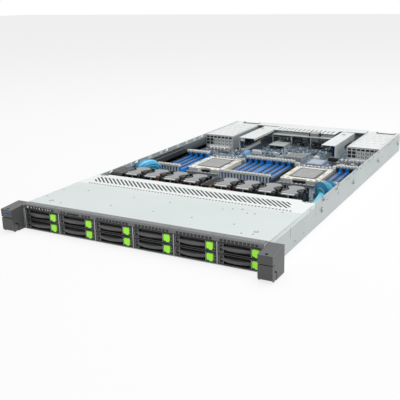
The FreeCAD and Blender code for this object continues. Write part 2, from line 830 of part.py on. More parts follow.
def ear_solid():
    """Right ear: hollow sloping casing, back plate with the rack hole, ribs and the door's pin."""
    body = doc.addObject("PartDesign::Body", "ear_casing")
    pad(body, "ear_block", outline(body, "ear_profile", "YZ_Plane", [
        ("front - ear_reach", "ear_split_height + ear_seam"),
        ("front + split + ear_gap", "ear_split_height + ear_seam"),
        ("front + split + ear_gap", "ear_bottom"),
        ("front + ear_back", "ear_bottom"),
        ("front + ear_back", "ear_top_rear"),
        ("front - ear_reach", "ear_top_front"),
    ], lift="ear_inside"), "ear_width")
    pocket(body, "ear_hollow", outline(body, "ear_hollow_profile", "YZ_Plane", [
        ("front - ear_reach + ear_wall", "ear_split_height + ear_seam + ear_wall"),
        ("front + split - 1", "ear_split_height + ear_seam + ear_wall"),
        ("front + split - 1", "ear_bottom + ear_wall"),
        ("front + ear_back - ear_wall", "ear_bottom + ear_wall"),
        ("front + ear_back - ear_wall", "ear_top_rear - 2 * ear_wall"),
        ("front - ear_reach + ear_wall", "ear_top_front - ear_wall"),
    ], lift="ear_inside + ear_wall"), "ear_width - 2 * ear_wall", backwards=True)
    at_pivot = ("front + pivot_y", "door_pivot_height")
    sweep_room = rod("ear_sweep_room", ("ear_inside - 1",) + at_pivot, "door_sweep + ear_gap",
                     "ear_width + 2", TOWARDS_RIGHT)
    rack_hole = rod("rack_hole", ("rack_hole_spacing / 2", "front + ear_back - 2 * ear_wall",
                                  "rack_hole_height"),
                    "rack_hole_radius", "3 * ear_wall", TOWARDS_REAR)
    peep_hole = prism("ear_peep_hole", ("ear_inside + ear_width / 2", "front - ear_reach + ear_peep_place",
                                        "ear_top_front - 2 * ear_wall"), PIN_SIDES, "ear_peep_radius",
                      "4 * ear_wall")
    pieces = [cut("ear_shell", body, [sweep_room, rack_hole, peep_hole])]
    for side, x in (("inner", "ear_inside + ear_rib_inset"), ("outer", "ear_outside - ear_rib_inset - ear_rib")):
        pieces.append(box(f"ear_rib_{side}", (x, "front + pivot_y - 2 * door_pin_radius",
                                              "door_pivot_height - 2 * door_pin_radius"),
                          ("ear_rib", "ear_back - pivot_y + 2 * door_pin_radius - ear_wall / 2",
                           "4 * door_pin_radius")))
    pieces.append(prism("door_pin", ("ear_inside",) + at_pivot, PIN_SIDES, "door_pin_radius", "ear_width",
                        TOWARDS_RIGHT))
    return fuse("ear", pieces)


def door_solid():
    """Right ear's door: front plate with two cheeks that end in knuckles round the pin."""
    body = doc.addObject("PartDesign::Body", "door_shell")
    pad(body, "door_block", outline(body, "door_profile", "YZ_Plane", [
        ("front - ear_reach", "ear_bottom + door_toe"),
        ("front - ear_reach + door_toe", "ear_bottom"),
        ("front + split", "ear_bottom"),
        ("front + split", "ear_split_height"),
        ("front - ear_reach", "ear_split_height"),
    ], lift="ear_inside"), "ear_width")
    disk = prism("door_knuckle", ("ear_inside", "front + pivot_y", "door_pivot_height"), PIN_SIDES,
                 "door_knuckle_radius", "ear_width", TOWARDS_RIGHT)
    hollow = box("door_hollow", ("ear_inside + ear_wall", "front - ear_reach + ear_wall", "-1"),
                 ("ear_width - 2 * ear_wall", "chassis_height", "ear_split_height + 1 - ear_wall"))
    hole = prism("door_hole", ("ear_inside - 1", "front + pivot_y", "door_pivot_height"), PIN_SIDES,
                 "door_pin_radius + door_pin_gap", "ear_width + 2", TOWARDS_RIGHT)
    return cut("door_bored", cut("door_open", fuse("door_solid", [body, disk]), [hollow]), [hole])


def rack_ears():
    """Both ears and both doors; the left ear also has a socket above its door."""
    right = ear_solid()
    slot = box("socket_slot", ("-(ear_inside + ear_width / 2 + socket_slot_width / 2)",
                               "front - ear_reach - 1", "socket_slot_floor"),
               ("socket_slot_width", "socket_slot_depth + 1", "socket_slot_height"))
    left = cut("ear_left", mirror("ear_mirrored", right), [slot])
    node("rack_ears", [left, right])
    door = door_solid()
    node("ear_door_right", [door])
    node("ear_door_left", [mirror("door_mirrored", door)])


def backplane():
    """Board across the back of the cage, with a plug for each drive and two for the looms."""
    pieces = [box("backplane_board", (f"-{COLUMNS / 2} * bay_pitch + backplane_margin",
                                      "front + backplane_front", "sheet"),
                  (f"{COLUMNS} * bay_pitch - 2 * backplane_margin", "backplane_thickness",
                   "backplane_height"))]
    for row in range(ROWS):
        for column in range(COLUMNS):
            x = f"{column - COLUMNS / 2 + 0.5} * bay_pitch - plug_width / 2 + plug_gap"
            z = f"lower_tray + {row} * row_pitch + drive_seat + plug_floor + plug_gap"
            pieces.append(box(f"drive_plug_{row}_{column}", (x, "front + plug_start", z),
                              ("plug_width - 2 * plug_gap", "backplane_front - plug_start",
                               "plug_height - 2 * plug_gap")))
    for side, sign in (("left", "-"), ("right", "")):
        pieces.append(box(f"cable_plug_{side}", (f"{sign}loom_place - cable_plug_width / 2",
                                                 "front + backplane_rear", "cable_plug_floor"),
                          ("cable_plug_width", "cable_plug_depth", "cable_plug_height")))
    node("backplane", pieces)


def fan_middles():
    """The X of each fan's axis, as formulas."""
    half = FANS_LEFT_OF_POST
    for index in range(FANS):
        group = "fan_left_group" if index < half else "fan_right_group"
        yield f"{group} + {index % half - (half - 1) / 2} * fan_pitch"


def fan_housing():
    """Square fan frame with a round bore, a stator on a cross strut and an hourglass top plate."""
    half = "fan_width / 2"
    frame = box("fan_frame", (f"-{half}", "0", "0"), ("fan_width", "fan_length", "fan_width"))
    bore = prism("fan_bore", ("0", "-1", half), BORE_SIDES, "fan_bore_radius", "fan_length + 2", TOWARDS_REAR)
    shell = cut("fan_shell", frame, [bore])
    stator = prism("stator_hub", ("0", "stator_front", half), 8, "stator_radius", "stator_length", TOWARDS_REAR)
    strut = box("stator_strut", (f"1 - {half}", "stator_front + 1", f"{half} - stator_strut / 2"),
                ("fan_width - 2", "stator_length - 2", "stator_strut"))
    shaft_room = prism("shaft_room", ("0", "stator_front - 1", half), 8, "shaft_radius + 2 * shaft_gap",
                       "shaft_length + 1.5", TOWARDS_REAR)
    body = doc.addObject("PartDesign::Body", "fan_top")
    wide = "fan_width / 2 - fan_waist"
    neck = "fan_plate_neck / 2"
    pad(body, "fan_top_plate", outline(body, "fan_top_outline", "XY_Plane", [
        (f"-({wide})", "0"),
        (wide, "0"),
        (wide, "fan_flange"),
        (neck, "fan_length / 2"),
        (wide, "fan_length - fan_flange"),
        (wide, "fan_length"),
        (f"-({wide})", "fan_length"),
        (f"-({wide})", "fan_length - fan_flange"),
        (f"-({neck})", "fan_length / 2"),
        (f"-({wide})", "fan_flange"),
    ], lift="fan_width"), "fan_plate")
    return cut("fan_housing", fuse("fan_housing_solid", [shell, stator, body, strut]), [shaft_room])


def fan_rotor():
    """Hub with its shaft and slanted blades; the axis is local Z and points down the air stream."""
    body = doc.addObject("PartDesign::Body", "rotor")
    blade = pad(body, "blade", outline(body, "blade_section", "YZ_Plane", [
        ("-blade_half_sweep", "(rotor_length - blade_length) / 2"),
        ("blade_thickness - blade_half_sweep", "(rotor_length - blade_length) / 2"),
        ("blade_half_sweep", "(rotor_length + blade_length) / 2"),
        ("blade_half_sweep - blade_thickness", "(rotor_length + blade_length) / 2"),
    ], lift="blade_root"), "blade_tip - blade_root")
    ring = body.newObject("PartDesign::PolarPattern", "blades")
    ring.Originals = [blade]
    ring.Axis = (origin_part(body, "Z_Axis"), [""])
    ring.Occurrences = BLADES
    body.Tip = ring
    hub = prism("rotor_hub", ("0", "0", "0"), 2 * BLADES, "rotor_hub_radius", "rotor_length")
    shaft = prism("rotor_shaft", ("0", "0", "rotor_length - 1"), PIN_SIDES, "shaft_radius",
                  "shaft_length + 1")
    return fuse("rotor_solid", [hub, body, shaft])


def fans():
    """Eight housings, the post between their groups and the duct at their left, and eight rotors."""
    housing = fan_housing()
    rotor = fan_rotor()
    housings = []
    for index, middle in enumerate(fan_middles()):
        seat = doc.addObject("Part::Compound", f"fan_seat_{index + 1}")
        seat.Links = [housing]
        housings.append(place(seat, (middle, "front + fan_front", "sheet")))
        node(f"fan_rotor_{index + 1}", [rotor],
             (middle, "front + fan_front + rotor_start", "sheet + fan_width / 2"), TOWARDS_REAR)
    post = box("fan_post", ("post_place - post_width / 2", "front + post_start", "sheet"),
               ("post_width", "post_length", "post_height"))
    duct = box("fan_duct", ("fan_edge - cage_gap - duct_width", "front + fan_front", "duct_floor"),
               ("duct_width", "duct_length", "duct_top - duct_floor"))
    node("fan_housings", housings + [post, duct])


def motherboard():
    """Board that narrows between the supplies, with a finned sink, port shells and connectors."""
    body = doc.addObject("PartDesign::Body", "board")
    wide = "board_width / 2"
    neck = "board_neck_width / 2"
    pad(body, "board_sheet", outline(body, "board_outline", "XY_Plane", [
        (f"-({wide})", "front + board_start"),
        (wide, "front + board_start"),
        (wide, "front + board_shoulder"),
        (neck, "front + board_shoulder"),
        (neck, "front + board_end"),
        (f"-({neck})", "front + board_end"),
        (f"-({neck})", "front + board_shoulder"),
        (f"-({wide})", "front + board_shoulder"),
    ], lift="sheet + standoff"), "board_thickness")
    pieces = [body, finned_sink()]
    for index, (middle, width, height, floor) in enumerate(PORTS):
        shell = box(f"port_shell_{index}",
                    (f"{middle - width / 2}", "rear - sheet - port_depth - cage_gap", "board_top"),
                    (f"{width}", "port_depth", f"{height + floor} - board_top"))
        hollow = box(f"port_hollow_{index}",
                     (f"{middle - width / 2} + port_wall", "rear - sheet - port_depth + port_wall",
                      "board_top + port_wall"),
                     (f"{width} - 2 * port_wall", "port_depth",
                      f"{height + floor} - board_top - 2 * port_wall"))
        pieces.append(cut(f"port_{index}", shell, [hollow]))
    for side, sign in (("left", "-"), ("right", "")):
        pieces.append(box(f"loom_socket_{side}", (f"{sign}loom_place - loom_plug_width / 2",
                                                  "front + loom_end - loom_plug_length / 2", "board_top"),
                          ("loom_plug_width", "loom_plug_length", "loom_plug_height")))
    node("motherboard", pieces)


def finned_sink():
    """Heat sink of straight fins behind the memory."""
    base = box("sink_block", ("sink_place - sink_width / 2", "front + sink_start", "board_top"),
               ("sink_width", "sink_length", "sink_height"))
    gaps = []
    for index in range(SINK_FINS - 1):
        gaps.append(box(f"sink_gap_{index}",
                        (f"sink_place - sink_width / 2 + sink_fin + {index} * sink_pitch",
                         "front + sink_start - 1", "board_top + sink_base"),
                        ("sink_pitch - sink_fin", "sink_length + 2", "sink_height")))
    return cut("sink", base, gaps)


def memory_slots():
    """Thirty-two sockets in four banks of eight, the middle two side by side."""
    body = doc.addObject("PartDesign::Body", "memory_socket")
    end = "slot_body_length"
    pad(body, "memory_socket_block", outline(body, "memory_socket_profile", "YZ_Plane", [
        ("0", "0"),
        (end, "0"),
        (f"{end} + slot_foot", "latch_height"),
        (f"{end} - latch_length + slot_foot", "latch_height"),
        (f"{end} - slot_tower_length", "slot_body_height"),
        ("slot_tower_length", "slot_body_height"),
        ("latch_length - slot_foot", "latch_height"),
        ("-slot_foot", "latch_height"),
    ], lift="-slot_body_width / 2"), "slot_body_width")
    banks = ["left_bank", "centre_bank - slot_pitch * 4", "centre_bank + slot_pitch * 4", "right_bank"]
    sockets = []
    for number_of_bank, middle in enumerate(banks):
        for index in range(SLOTS_PER_BANK):
            x = f"{middle} + {index - (SLOTS_PER_BANK - 1) / 2} * slot_pitch"
            seat = doc.addObject("Part::Compound", f"memory_seat_{number_of_bank}_{index}")
            seat.Links = [body]
            sockets.append(place(seat, (x, "front + bank_start", "board_top")))
    node("memory_slots", sockets)


def cpu_sockets():
    """Two frames with a raised lid in the middle and a rounded bite in front."""
    body = doc.addObject("PartDesign::Body", "socket_frame")
    half = "socket_frame_width / 2"
    pad(body, "frame_block", outline(body, "frame_outline", "XY_Plane",
                                     rectangle(f"-{half}", "0", "socket_frame_width", "socket_frame_length")),
        "socket_frame_height")
    window = outline(body, "window_outline", "XY_Plane",
                     rectangle("-socket_window_width / 2", "(socket_frame_length - socket_window_length) / 2",
                               "socket_window_width", "socket_window_length"), lift="socket_frame_height")
    pocket(body, "frame_window", window, "socket_frame_height - socket_foot")
    lid = box("socket_lid", ("-socket_lid_width / 2", "(socket_frame_length - socket_lid_length) / 2",
                             "socket_frame_height"),
              ("socket_lid_width", "socket_lid_length", "socket_lid_height"))
    bites = [
        rod("socket_bite", ("0", "socket_foot", "socket_foot"), "socket_bite_radius",
            "socket_frame_height"),
        box("socket_notch", ("-socket_notch_width / 2", "socket_frame_length - socket_notch_depth",
                             "socket_foot"),
            ("socket_notch_width", "2 * socket_notch_depth", "socket_frame_height")),
    ]
    frame = cut("socket_solid", fuse("socket_with_lid", [body, lid]), bites)
    seats = []
    for side in ("left", "right"):
        seat = doc.addObject("Part::Compound", f"socket_seat_{side}")
        seat.Links = [frame]
        seats.append(place(seat, (f"{side}_socket", "front + socket_start", "board_top")))
    node("cpu_sockets", seats)


def riser_cages():
    """Bracket of folded sheet over each riser, with the riser's own board beside its wall."""
    pieces = []
    for side, wall_at, lip_at, board_at in (
            ("left", "left_riser", "left_riser + left_riser_width - sheet",
             "left_riser + sheet + riser_board_inset"),
            ("right", "right_riser + right_riser_width - sheet", "right_riser",
             "right_riser + right_riser_width - sheet - riser_board_inset - riser_board")):
        length = "riser_end - riser_start"
        plate = box(f"riser_plate_{side}", (f"{side}_riser", "front + riser_start", "riser_top - sheet"),
                    (f"{side}_riser_width", length, "sheet"))
        wall = box(f"riser_wall_{side}", (wall_at, "front + riser_start", "board_top"),
                   ("sheet", length, "riser_top - board_top"))
        lip = box(f"riser_lip_{side}", (lip_at, "front + riser_start", "riser_top - riser_lip"),
                  ("sheet", length, "riser_lip"))
        window = box(f"riser_window_{side}",
                     (f"{wall_at} - sheet", "front + riser_end - riser_window_rear_gap - riser_window_length",
                      "board_top + riser_window_floor"),
                     ("3 * sheet", "riser_window_length", "riser_window_height"))
        pieces.append(cut(f"riser_bracket_{side}", fuse(f"riser_sheet_{side}", [plate, wall, lip]), [window]))
        pieces.append(box(f"riser_board_{side}", (board_at, "front + riser_start + riser_board_lead",
                                                  "board_top"),
                          ("riser_board", "riser_board_length", "riser_board_height")))
    node("riser_cages", pieces)


def power_supply():
    """Supply with its plug in front, and the inlet, fan grille and pull handle behind."""
    half = "supply_width / 2"
    case = box("supply_case", (f"-{half}", "rear - supply_length", "0"),
               ("supply_width", "supply_length", "supply_height"))
    plug = box("supply_plug", ("-supply_plug_width / 2", "rear - supply_length - supply_plug_depth",
                               "supply_plug_floor"),
               ("supply_plug_width", "supply_plug_depth + 1", "supply_plug_height"))
    bail = box("handle_block", ("-handle_width / 2", "rear - 1", "handle_floor"),
               ("handle_width", "handle_reach + 1", "handle_height"))
    eye = box("handle_eye", ("handle_bar - handle_width / 2", "rear", "handle_floor - 1"),
              ("handle_width - 2 * handle_bar", "handle_reach - handle_bar", "handle_height + 2"))
    inlet = box("inlet", ("inlet_place - inlet_width / 2", "rear - inlet_depth", "inlet_floor"),
                ("inlet_width", "inlet_depth + 1", "inlet_height"))
    grille = rod("grille_recess", ("grille_place", "rear - grille_depth", "grille_height"),
                 "grille_radius", "grille_depth + 1", TOWARDS_REAR)
    return cut("supply", fuse("supply_solid", [case, plug, cut("handle", bail, [eye])]), [inlet, grille])


def power_supplies():
    """One supply at each side of the rear."""
    supply = power_supply()
    node("psu_left", [supply], ("-supply_middle", "0", "supply_floor"))
    node("psu_right", [supply], ("supply_middle", "0", "supply_floor"))


def cables():
    """A flat loom along each side wall, from the backplane over a hump down into its socket."""
    body = doc.addObject("PartDesign::Body", "loom")
    low = "loom_height"
    high = "loom_height + loom_thickness"
    top = "loom_hump + loom_thickness"
    run = "front + loom_end - loom_bend"
    foot = "board_top + loom_plug_height"
    pad(body, "loom_band", outline(body, "loom_profile", "YZ_Plane", [
        ("front + loom_start", low),
        (f"{run} - 2 * loom_bend", low),
        (f"{run} - loom_bend", "loom_hump"),
        (run, "loom_hump"),
        (f"{run} + loom_bend - loom_thickness / 2", "loom_hump - loom_bend / 2"),
        (f"{run} + loom_bend - loom_thickness / 2", foot),
        (f"{run} + loom_bend + loom_thickness / 2", foot),
        (f"{run} + loom_bend + loom_thickness / 2", "loom_hump - loom_bend / 3"),
        (f"{run} + loom_bend / 3", top),
        (f"{run} - 4 / 3 * loom_bend", top),
        (f"{run} - 7 / 3 * loom_bend", high),
        ("front + loom_start", high),
    ], lift="loom_place - loom_width / 2"), "loom_width")
    node("cables", [body, mirror("loom_mirrored", body)])


def main():
    """Build every sub-part, test it and write its file."""
    for build in (chassis_tray, front_cover, drive_cage, power_button, drive_trays, rack_ears, backplane,
                  fans, motherboard, memory_slots, cpu_sockets, riser_cages, power_supplies, cables):
        build()
    doc.recompute()
    for item in doc.Objects:
        if "Invalid" in item.State or "Error" in item.State:
            raise RuntimeError(f"{item.Name} failed: {item.State}")
    os.makedirs("parts", exist_ok=True)
    for item in NODES:
        if item.Shape.isNull() or not item.Shape.isValid():
            raise RuntimeError(f"{item.Label} has no valid shape")
        item.Shape.exportStep(f"parts/{item.Label}.step")
    print(len(NODES), "sub-parts")


main()
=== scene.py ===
import json
import math
import random

import bmesh
import bpy
from mathutils import Matrix, Vector


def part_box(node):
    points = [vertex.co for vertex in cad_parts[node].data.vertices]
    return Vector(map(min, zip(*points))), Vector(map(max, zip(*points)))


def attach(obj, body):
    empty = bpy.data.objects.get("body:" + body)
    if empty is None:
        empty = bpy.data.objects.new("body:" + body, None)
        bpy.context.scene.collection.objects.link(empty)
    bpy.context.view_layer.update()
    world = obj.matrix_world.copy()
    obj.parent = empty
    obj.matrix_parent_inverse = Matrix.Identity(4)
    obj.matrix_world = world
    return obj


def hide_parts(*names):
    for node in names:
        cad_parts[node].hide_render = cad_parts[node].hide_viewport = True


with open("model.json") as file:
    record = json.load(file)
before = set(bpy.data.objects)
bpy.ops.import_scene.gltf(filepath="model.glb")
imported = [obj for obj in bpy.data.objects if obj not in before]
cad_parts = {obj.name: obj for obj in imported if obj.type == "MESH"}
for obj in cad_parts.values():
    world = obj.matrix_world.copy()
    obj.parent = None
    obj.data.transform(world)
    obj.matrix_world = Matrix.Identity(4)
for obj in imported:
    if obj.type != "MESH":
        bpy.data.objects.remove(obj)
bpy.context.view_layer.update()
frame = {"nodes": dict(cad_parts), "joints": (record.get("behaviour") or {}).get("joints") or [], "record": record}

# Lengths are in millimetres until a piece is made, when they become metres. A depth runs from the
# front of the pan, at y = FRONT, towards its rear.
MM = 0.001
CHANCE = random.Random(7)


def corners(node):
    """Lowest and highest corner of a CAD node, in millimetres."""
    low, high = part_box(node)
    return low / MM, high / MM


pan_low, pan_high = corners("chassis_tray")
cover_low, cover_high = corners("front_cover")
FRONT = pan_low.y
REAR = pan_high.y
HALF = cover_high.x
TOP = pan_high.z
SHEET = 1.2
BOARD_TOP = 9.0


# Shapes

def spot(across, up, along, axis):
    """A point from two coordinates across an axis and one along it."""
    return {"x": (along, across, up), "y": (across, along, up), "z": (across, up, along)}[axis]


def circle(middle, radius, sides):
    """Points round a circle in the plane across an axis."""
    steps = [2 * math.pi * index / sides for index in range(sides)]
    return [(middle[0] + radius * math.cos(a), middle[1] + radius * math.sin(a)) for a in steps]


def vane(middle, turn, profile):
    """Points of (radius, lead) pairs round a middle, turned by an angle."""
    return [(middle[0] + math.cos(turn + lead) * radius, middle[1] + math.sin(turn + lead) * radius)
            for radius, lead in profile]


def moved(outline, x, y):
    """An outline moved by x and y."""
    return [(x + a, y + b) for a, b in outline]


class Shape:
    """Geometry gathered for one piece."""

    def __init__(self):
        self.mesh = bmesh.new()

    def skin(self, loops, caps=True):
        """Quads between rings of points, each ring joined to the next."""
        rows = [[self.mesh.verts.new(point) for point in loop] for loop in loops]
        count = len(rows[0])
        for near, far in zip(rows, rows[1:]):
            for index in range(count):
                after = (index + 1) % count
                self.mesh.faces.new((near[index], near[after], far[after], far[index]))
        if caps:
            self.mesh.faces.new(rows[0][::-1])
            self.mesh.faces.new(rows[-1])
        return self

    def extrude(self, outline, low, high, axis="z"):
        """A flat outline drawn out along an axis."""
        return self.skin([[spot(a, u, value, axis) for a, u in outline] for value in (low, high)])

    def block(self, start, end):
        """A block between two opposite corners."""
        (left, near, low), (right, far, high) = [list(map(pick, start, end)) for pick in (min, max)]
        return self.extrude([(left, near), (right, near), (right, far), (left, far)], low, high)

    def turned(self, middle, profile, axis="z", sides=20, base=0.0, caps=True):
        """A profile of (radius, place along the axis from a base) pairs turned about an axis."""
        return self.skin([[spot(a, u, base + along, axis) for a, u in circle(middle, radius, sides)]
                          for radius, along in profile], caps)

    def tube(self, path, radius):
        """A round tube along a path of points."""
        return self.swept(path, circle((0, 0), radius, 8))

    def swept(self, path, section):
        """A flat section of (sideways, up) points carried along a path."""
        points = [Vector(p) for p in path]
        loops = []
        side = None
        for index, point in enumerate(points):
            ahead = points[min(index + 1, len(points) - 1)] - points[max(index - 1, 0)]
            ahead.normalize()
            if side is None:
                side = ahead.cross(Vector((0, 0, 1)))
                if side.length < 0.1:
                    side = ahead.cross(Vector((0, 1, 0)))
            side = (side - ahead * side.dot(ahead)).normalized()
            up = side.cross(ahead)
            loops.append([point + side * a + up * b for a, b in section])
        return self.skin(loops)


def blocks(*pairs):
    """A shape of blocks, each from a pair of opposite corners."""
    shape = Shape()
    for start, end in pairs:
        shape.block(start, end)
    return shape


def shapes(count):
    """Empty shapes."""
    return [Shape() for _ in range(count)]


def mesh_from(name, shape, look, painted_shade_lining=None, merge=True):
    """A Blender mesh in metres from a shape, with its material and perhaps a second one that paints shade on the walls
    of its holes.
    """
    if merge:
        bmesh.ops.remove_doubles(shape.mesh, verts=shape.mesh.verts, dist=0.001)
    bmesh.ops.recalc_face_normals(shape.mesh, faces=shape.mesh.faces)
    bmesh.ops.scale(shape.mesh, vec=(MM, MM, MM), verts=shape.mesh.verts)
    mesh = bpy.data.meshes.new(name)
    shape.mesh.to_mesh(mesh)
    shape.mesh.free()
    mesh.materials.append(look)
    if painted_shade_lining:
        mesh.materials.append(painted_shade_lining)
    mesh.shade_smooth()
    mesh.set_sharp_from_angle(angle=math.radians(35))
    return mesh


def placed(name, data):
    """An object in the scene that holds some data."""
    item = bpy.data.objects.new(name, data)
    bpy.context.scene.collection.objects.link(item)
    return item


def show(name, mesh, body="root", at=(0, 0, 0), bevel=0.0, slot=None, stands_for=()):
    """An object that shows a mesh and rides on a body."""
    item = placed(name, mesh)
    item.location = Vector(at) * MM
    if bevel:
        edges = item.modifiers.new("edges", "BEVEL")
        edges.width = bevel * MM
        edges.segments = 2
        edges.limit_method = "ANGLE"
        edges.angle_limit = math.radians(40)
        edges.harden_normals = True
    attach(item, body)
    if stands_for:
        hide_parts(*stands_for)


def piece(name, shape, look, painted_shade_lining=None, merge=True, **more):
    """A piece of its own from a shape."""
    show(name, mesh_from(name, shape, look, painted_shade_lining, merge), **more)


def copied(node, keep=None):
    """The shape of a CAD node, or of those of its solids that keep(lowest, highest corner) picks."""
    shape = Shape()
    shape.mesh.from_mesh(frame["nodes"][node].data)
    bmesh.ops.scale(shape.mesh, vec=(1 / MM, 1 / MM, 1 / MM), verts=shape.mesh.verts)
    bmesh.ops.remove_doubles(shape.mesh, verts=shape.mesh.verts, dist=0.001)
    if keep:
        left = set(shape.mesh.verts)
        dropped = []
        while left:
            group = [left.pop()]
            for vertex in group:
                for link in vertex.link_edges:
                    other = link.other_vert(vertex)
                    if other in left:
                        left.remove(other)
                        group.append(other)
            low, high = [Vector([pick(v.co[i] for v in group) for i in range(3)]) for pick in (min, max)]
            if not keep(low, high):
                dropped.extend(group)
        bmesh.ops.delete(shape.mesh, geom=dropped, context="VERTS")
    bmesh.ops.dissolve_limit(shape.mesh, angle_limit=math.radians(1), verts=shape.mesh.verts,
                             edges=shape.mesh.edges)
    return shape


# Materials

def add(tree, kind, values=(), **settings):
    """A shader node whose inputs take values or the outputs of other nodes."""
    made = tree.nodes.new("ShaderNode" + kind)
    for name, value in settings.items():
        setattr(made, name, value)
    for name, value in dict(values).items():
        if isinstance(value, bpy.types.NodeSocket):
            tree.links.new(value, made.inputs[name])
        else:
            made.inputs[name].default_value = value
    return made


def mixed(tree, share, first, second, **settings):
    """The output of a mix of two colours, each a value or an output."""
    values = {"Factor": share, "A": first, "B": second}
    return add(tree, "Mix", values, data_type="RGBA", **settings).outputs["Result"]


def blank_material(name):
    """A material, its node tree and its shader."""
    material = bpy.data.materials.new(name)
    material.use_nodes = True
    return material, material.node_tree, material.node_tree.nodes["Principled BSDF"]


def look(name, colour, rough=0.4, metal=0.0, other=None, grain=900, relief=0.15, streaks=(1, 1, 1),
         coat=0.0, glow=0.0, ribs=None, worn=None):
    """A procedural finish: two tones in clouds and fine grain, a little relief, perhaps ribs, worn edges or a glow that
    paints light.
    """
    material, tree, shader = blank_material(name)
    shader.inputs["Metallic"].default_value = metal
    shader.inputs["Coat Weight"].default_value = coat
    place = add(tree, "TexCoord").outputs["Object"]
    stretched = add(tree, "Mapping", {"Scale": streaks, "Vector": place}).outputs["Vector"]
    cloud = add(tree, "TexNoise", {"Scale": 9.0, "Detail": 4.0, "Vector": place}).outputs["Fac"]
    fine = add(tree, "TexNoise", {"Scale": grain, "Detail": 3.0, "Vector": stretched}).outputs["Fac"]
    blend = add(tree, "Math", {0: cloud, 1: fine}, operation="MULTIPLY").outputs[0]
    share = add(tree, "MapRange", {"From Min": 0.12, "From Max": 0.42, "Value": blend}).outputs[0]
    second = other or [value * 0.86 for value in colour]
    shown = mixed(tree, share, (*colour, 1), (*second, 1))
    height = fine
    if ribs:
        axis, pitch = ribs
        wave = add(tree, "TexWave", {"Scale": math.pi / (10 * pitch * MM), "Vector": place}, bands_direction=axis)
        # The ribs darken the colour in their grooves, in step with their relief: painted shade.
        shown = mixed(tree, 0.3, shown, wave.outputs["Color"], blend_type="MULTIPLY")
        height = wave.outputs["Fac"]
    if worn:
        rounded = add(tree, "Bevel", {"Radius": 0.0007}).outputs["Normal"]
        flat = add(tree, "NewGeometry").outputs["True Normal"]
        match = add(tree, "VectorMath", {0: rounded, 1: flat}, operation="DOT_PRODUCT").outputs["Value"]
        rim = add(tree, "MapRange", {"From Min": 0.995, "From Max": 0.85, "Value": match}).outputs[0]
        shown = mixed(tree, rim, shown, (*worn, 1))
    tree.links.new(shown, shader.inputs["Base Color"])
    gloss = add(tree, "MapRange", {"To Min": max(0.05, rough - 0.1), "To Max": min(1.0, rough + 0.1), "Value": fine})
    tree.links.new(gloss.outputs[0], shader.inputs["Roughness"])
    bump = add(tree, "Bump", {"Strength": relief, "Distance": 0.0002, "Height": height})
    tree.links.new(bump.outputs["Normal"], shader.inputs["Normal"])
    # A glow on a part that is no lamp is painted light.
    if glow:
        shader.inputs["Emission Color"].default_value = (*colour, 1)
        shader.inputs["Emission Strength"].default_value = glow
    return material


def board_look(name, mask, trace, pad):
    """Solder mask over copper traces, with small bright pads."""
    material = look(name, mask, rough=0.38, other=[value * 1.25 for value in mask], grain=300, relief=0.1)
    tree = material.node_tree
    base = tree.nodes["Principled BSDF"].inputs["Base Color"]
    shown = base.links[0].from_socket
    place = add(tree, "TexCoord").outputs["Object"]
    for scale, metric, edge, colour in ((170.0, "MANHATTAN", 0.07, trace), (330.0, "CHEBYCHEV", 0.16, pad)):
        cells = add(tree, "TexVoronoi", {"Scale": scale, "Randomness": 0.75, "Vector": place}, distance=metric)
        near = add(tree, "Math", {0: cells.outputs["Distance"], 1: edge}, operation="LESS_THAN")
        shown = mixed(tree, near.outputs[0], shown, (*colour, 1))
    tree.links.new(shown, base)
    return material


LID = look("lid_steel", (0.66, 0.72, 0.71), metal=0.2, other=(0.62, 0.68, 0.67), grain=1500, relief=0.05)
# The rear band is the same sheet as the lid; its brighter colour is painted light.
PAINTED_LIGHT_BAND = look("band_steel_painted_light", (0.80, 0.84, 0.83), metal=0.15, other=(0.77, 0.81, 0.80), grain=1500, relief=0.05)
PAN = look("pan_steel", (0.52, 0.56, 0.56), rough=0.42, metal=0.3, grain=1300, relief=0.08)
SILVER = look("supply_steel", (0.80, 0.82, 0.82), metal=0.3, grain=500, relief=0.12)
RISER = look("riser_steel", (0.78, 0.81, 0.81), metal=0.3, grain=500, relief=0.12, streaks=(1, 0.15, 1))
BEZEL = look("bezel_grey", (0.19, 0.194, 0.198), metal=0.25, streaks=(0.2, 1, 1))
CAGE = look("cage_steel", (0.45, 0.46, 0.46), metal=0.5, grain=500)
EAR = look("ear_grain", (0.085, 0.087, 0.088), grain=1500, relief=0.3, worn=(0.22, 0.22, 0.22))
TRAY = look("tray_grain", (0.035, 0.036, 0.04), rough=0.42, grain=1500, relief=0.3, worn=(0.13, 0.13, 0.13))
LEVER = look("lever_satin", (0.105, 0.105, 0.105), rough=0.36, grain=1200, relief=0.2)
# The green buttons glow a little, which is painted light: they are no lamps.
GREEN = look("button_green", (0.36, 0.90, 0.03), rough=0.3, other=(0.24, 0.78, 0.02), grain=300, relief=0.1,
             coat=0.3, glow=0.3)
BLACK = look("black_mould", (0.012, 0.012, 0.013), grain=1200, relief=0.3)
DARK = look("dark_mould", (0.035, 0.035, 0.038), rough=0.42, grain=1000, relief=0.3, worn=(0.12, 0.12, 0.12))
FAN_TOP = look("fan_top_mould", (0.27, 0.275, 0.29), rough=0.36, relief=0.2)
CREAM = look("cream_mould", (0.88, 0.87, 0.79))
WHITE = look("white_mould", (0.86, 0.88, 0.88), relief=0.1)
BLUE = look("blue_mould", (0.008, 0.24, 0.74), rough=0.28, coat=0.2)
CYAN = look("cyan_ribbon", (0.10, 0.72, 1.0), rough=0.3, other=(0.30, 0.85, 1.0), grain=300, relief=0.5,
            ribs=("X", 1.0), coat=0.2)
TEAL = look("teal_ribbon", (0.02, 0.36, 0.70), rough=0.35, grain=300, relief=0.5, ribs=("X", 1.0))
CHIP = look("chip_black", (0.02, 0.02, 0.022), rough=0.5)
TIN = look("tin_shell", (0.62, 0.63, 0.64), rough=0.3, metal=0.7, grain=400)
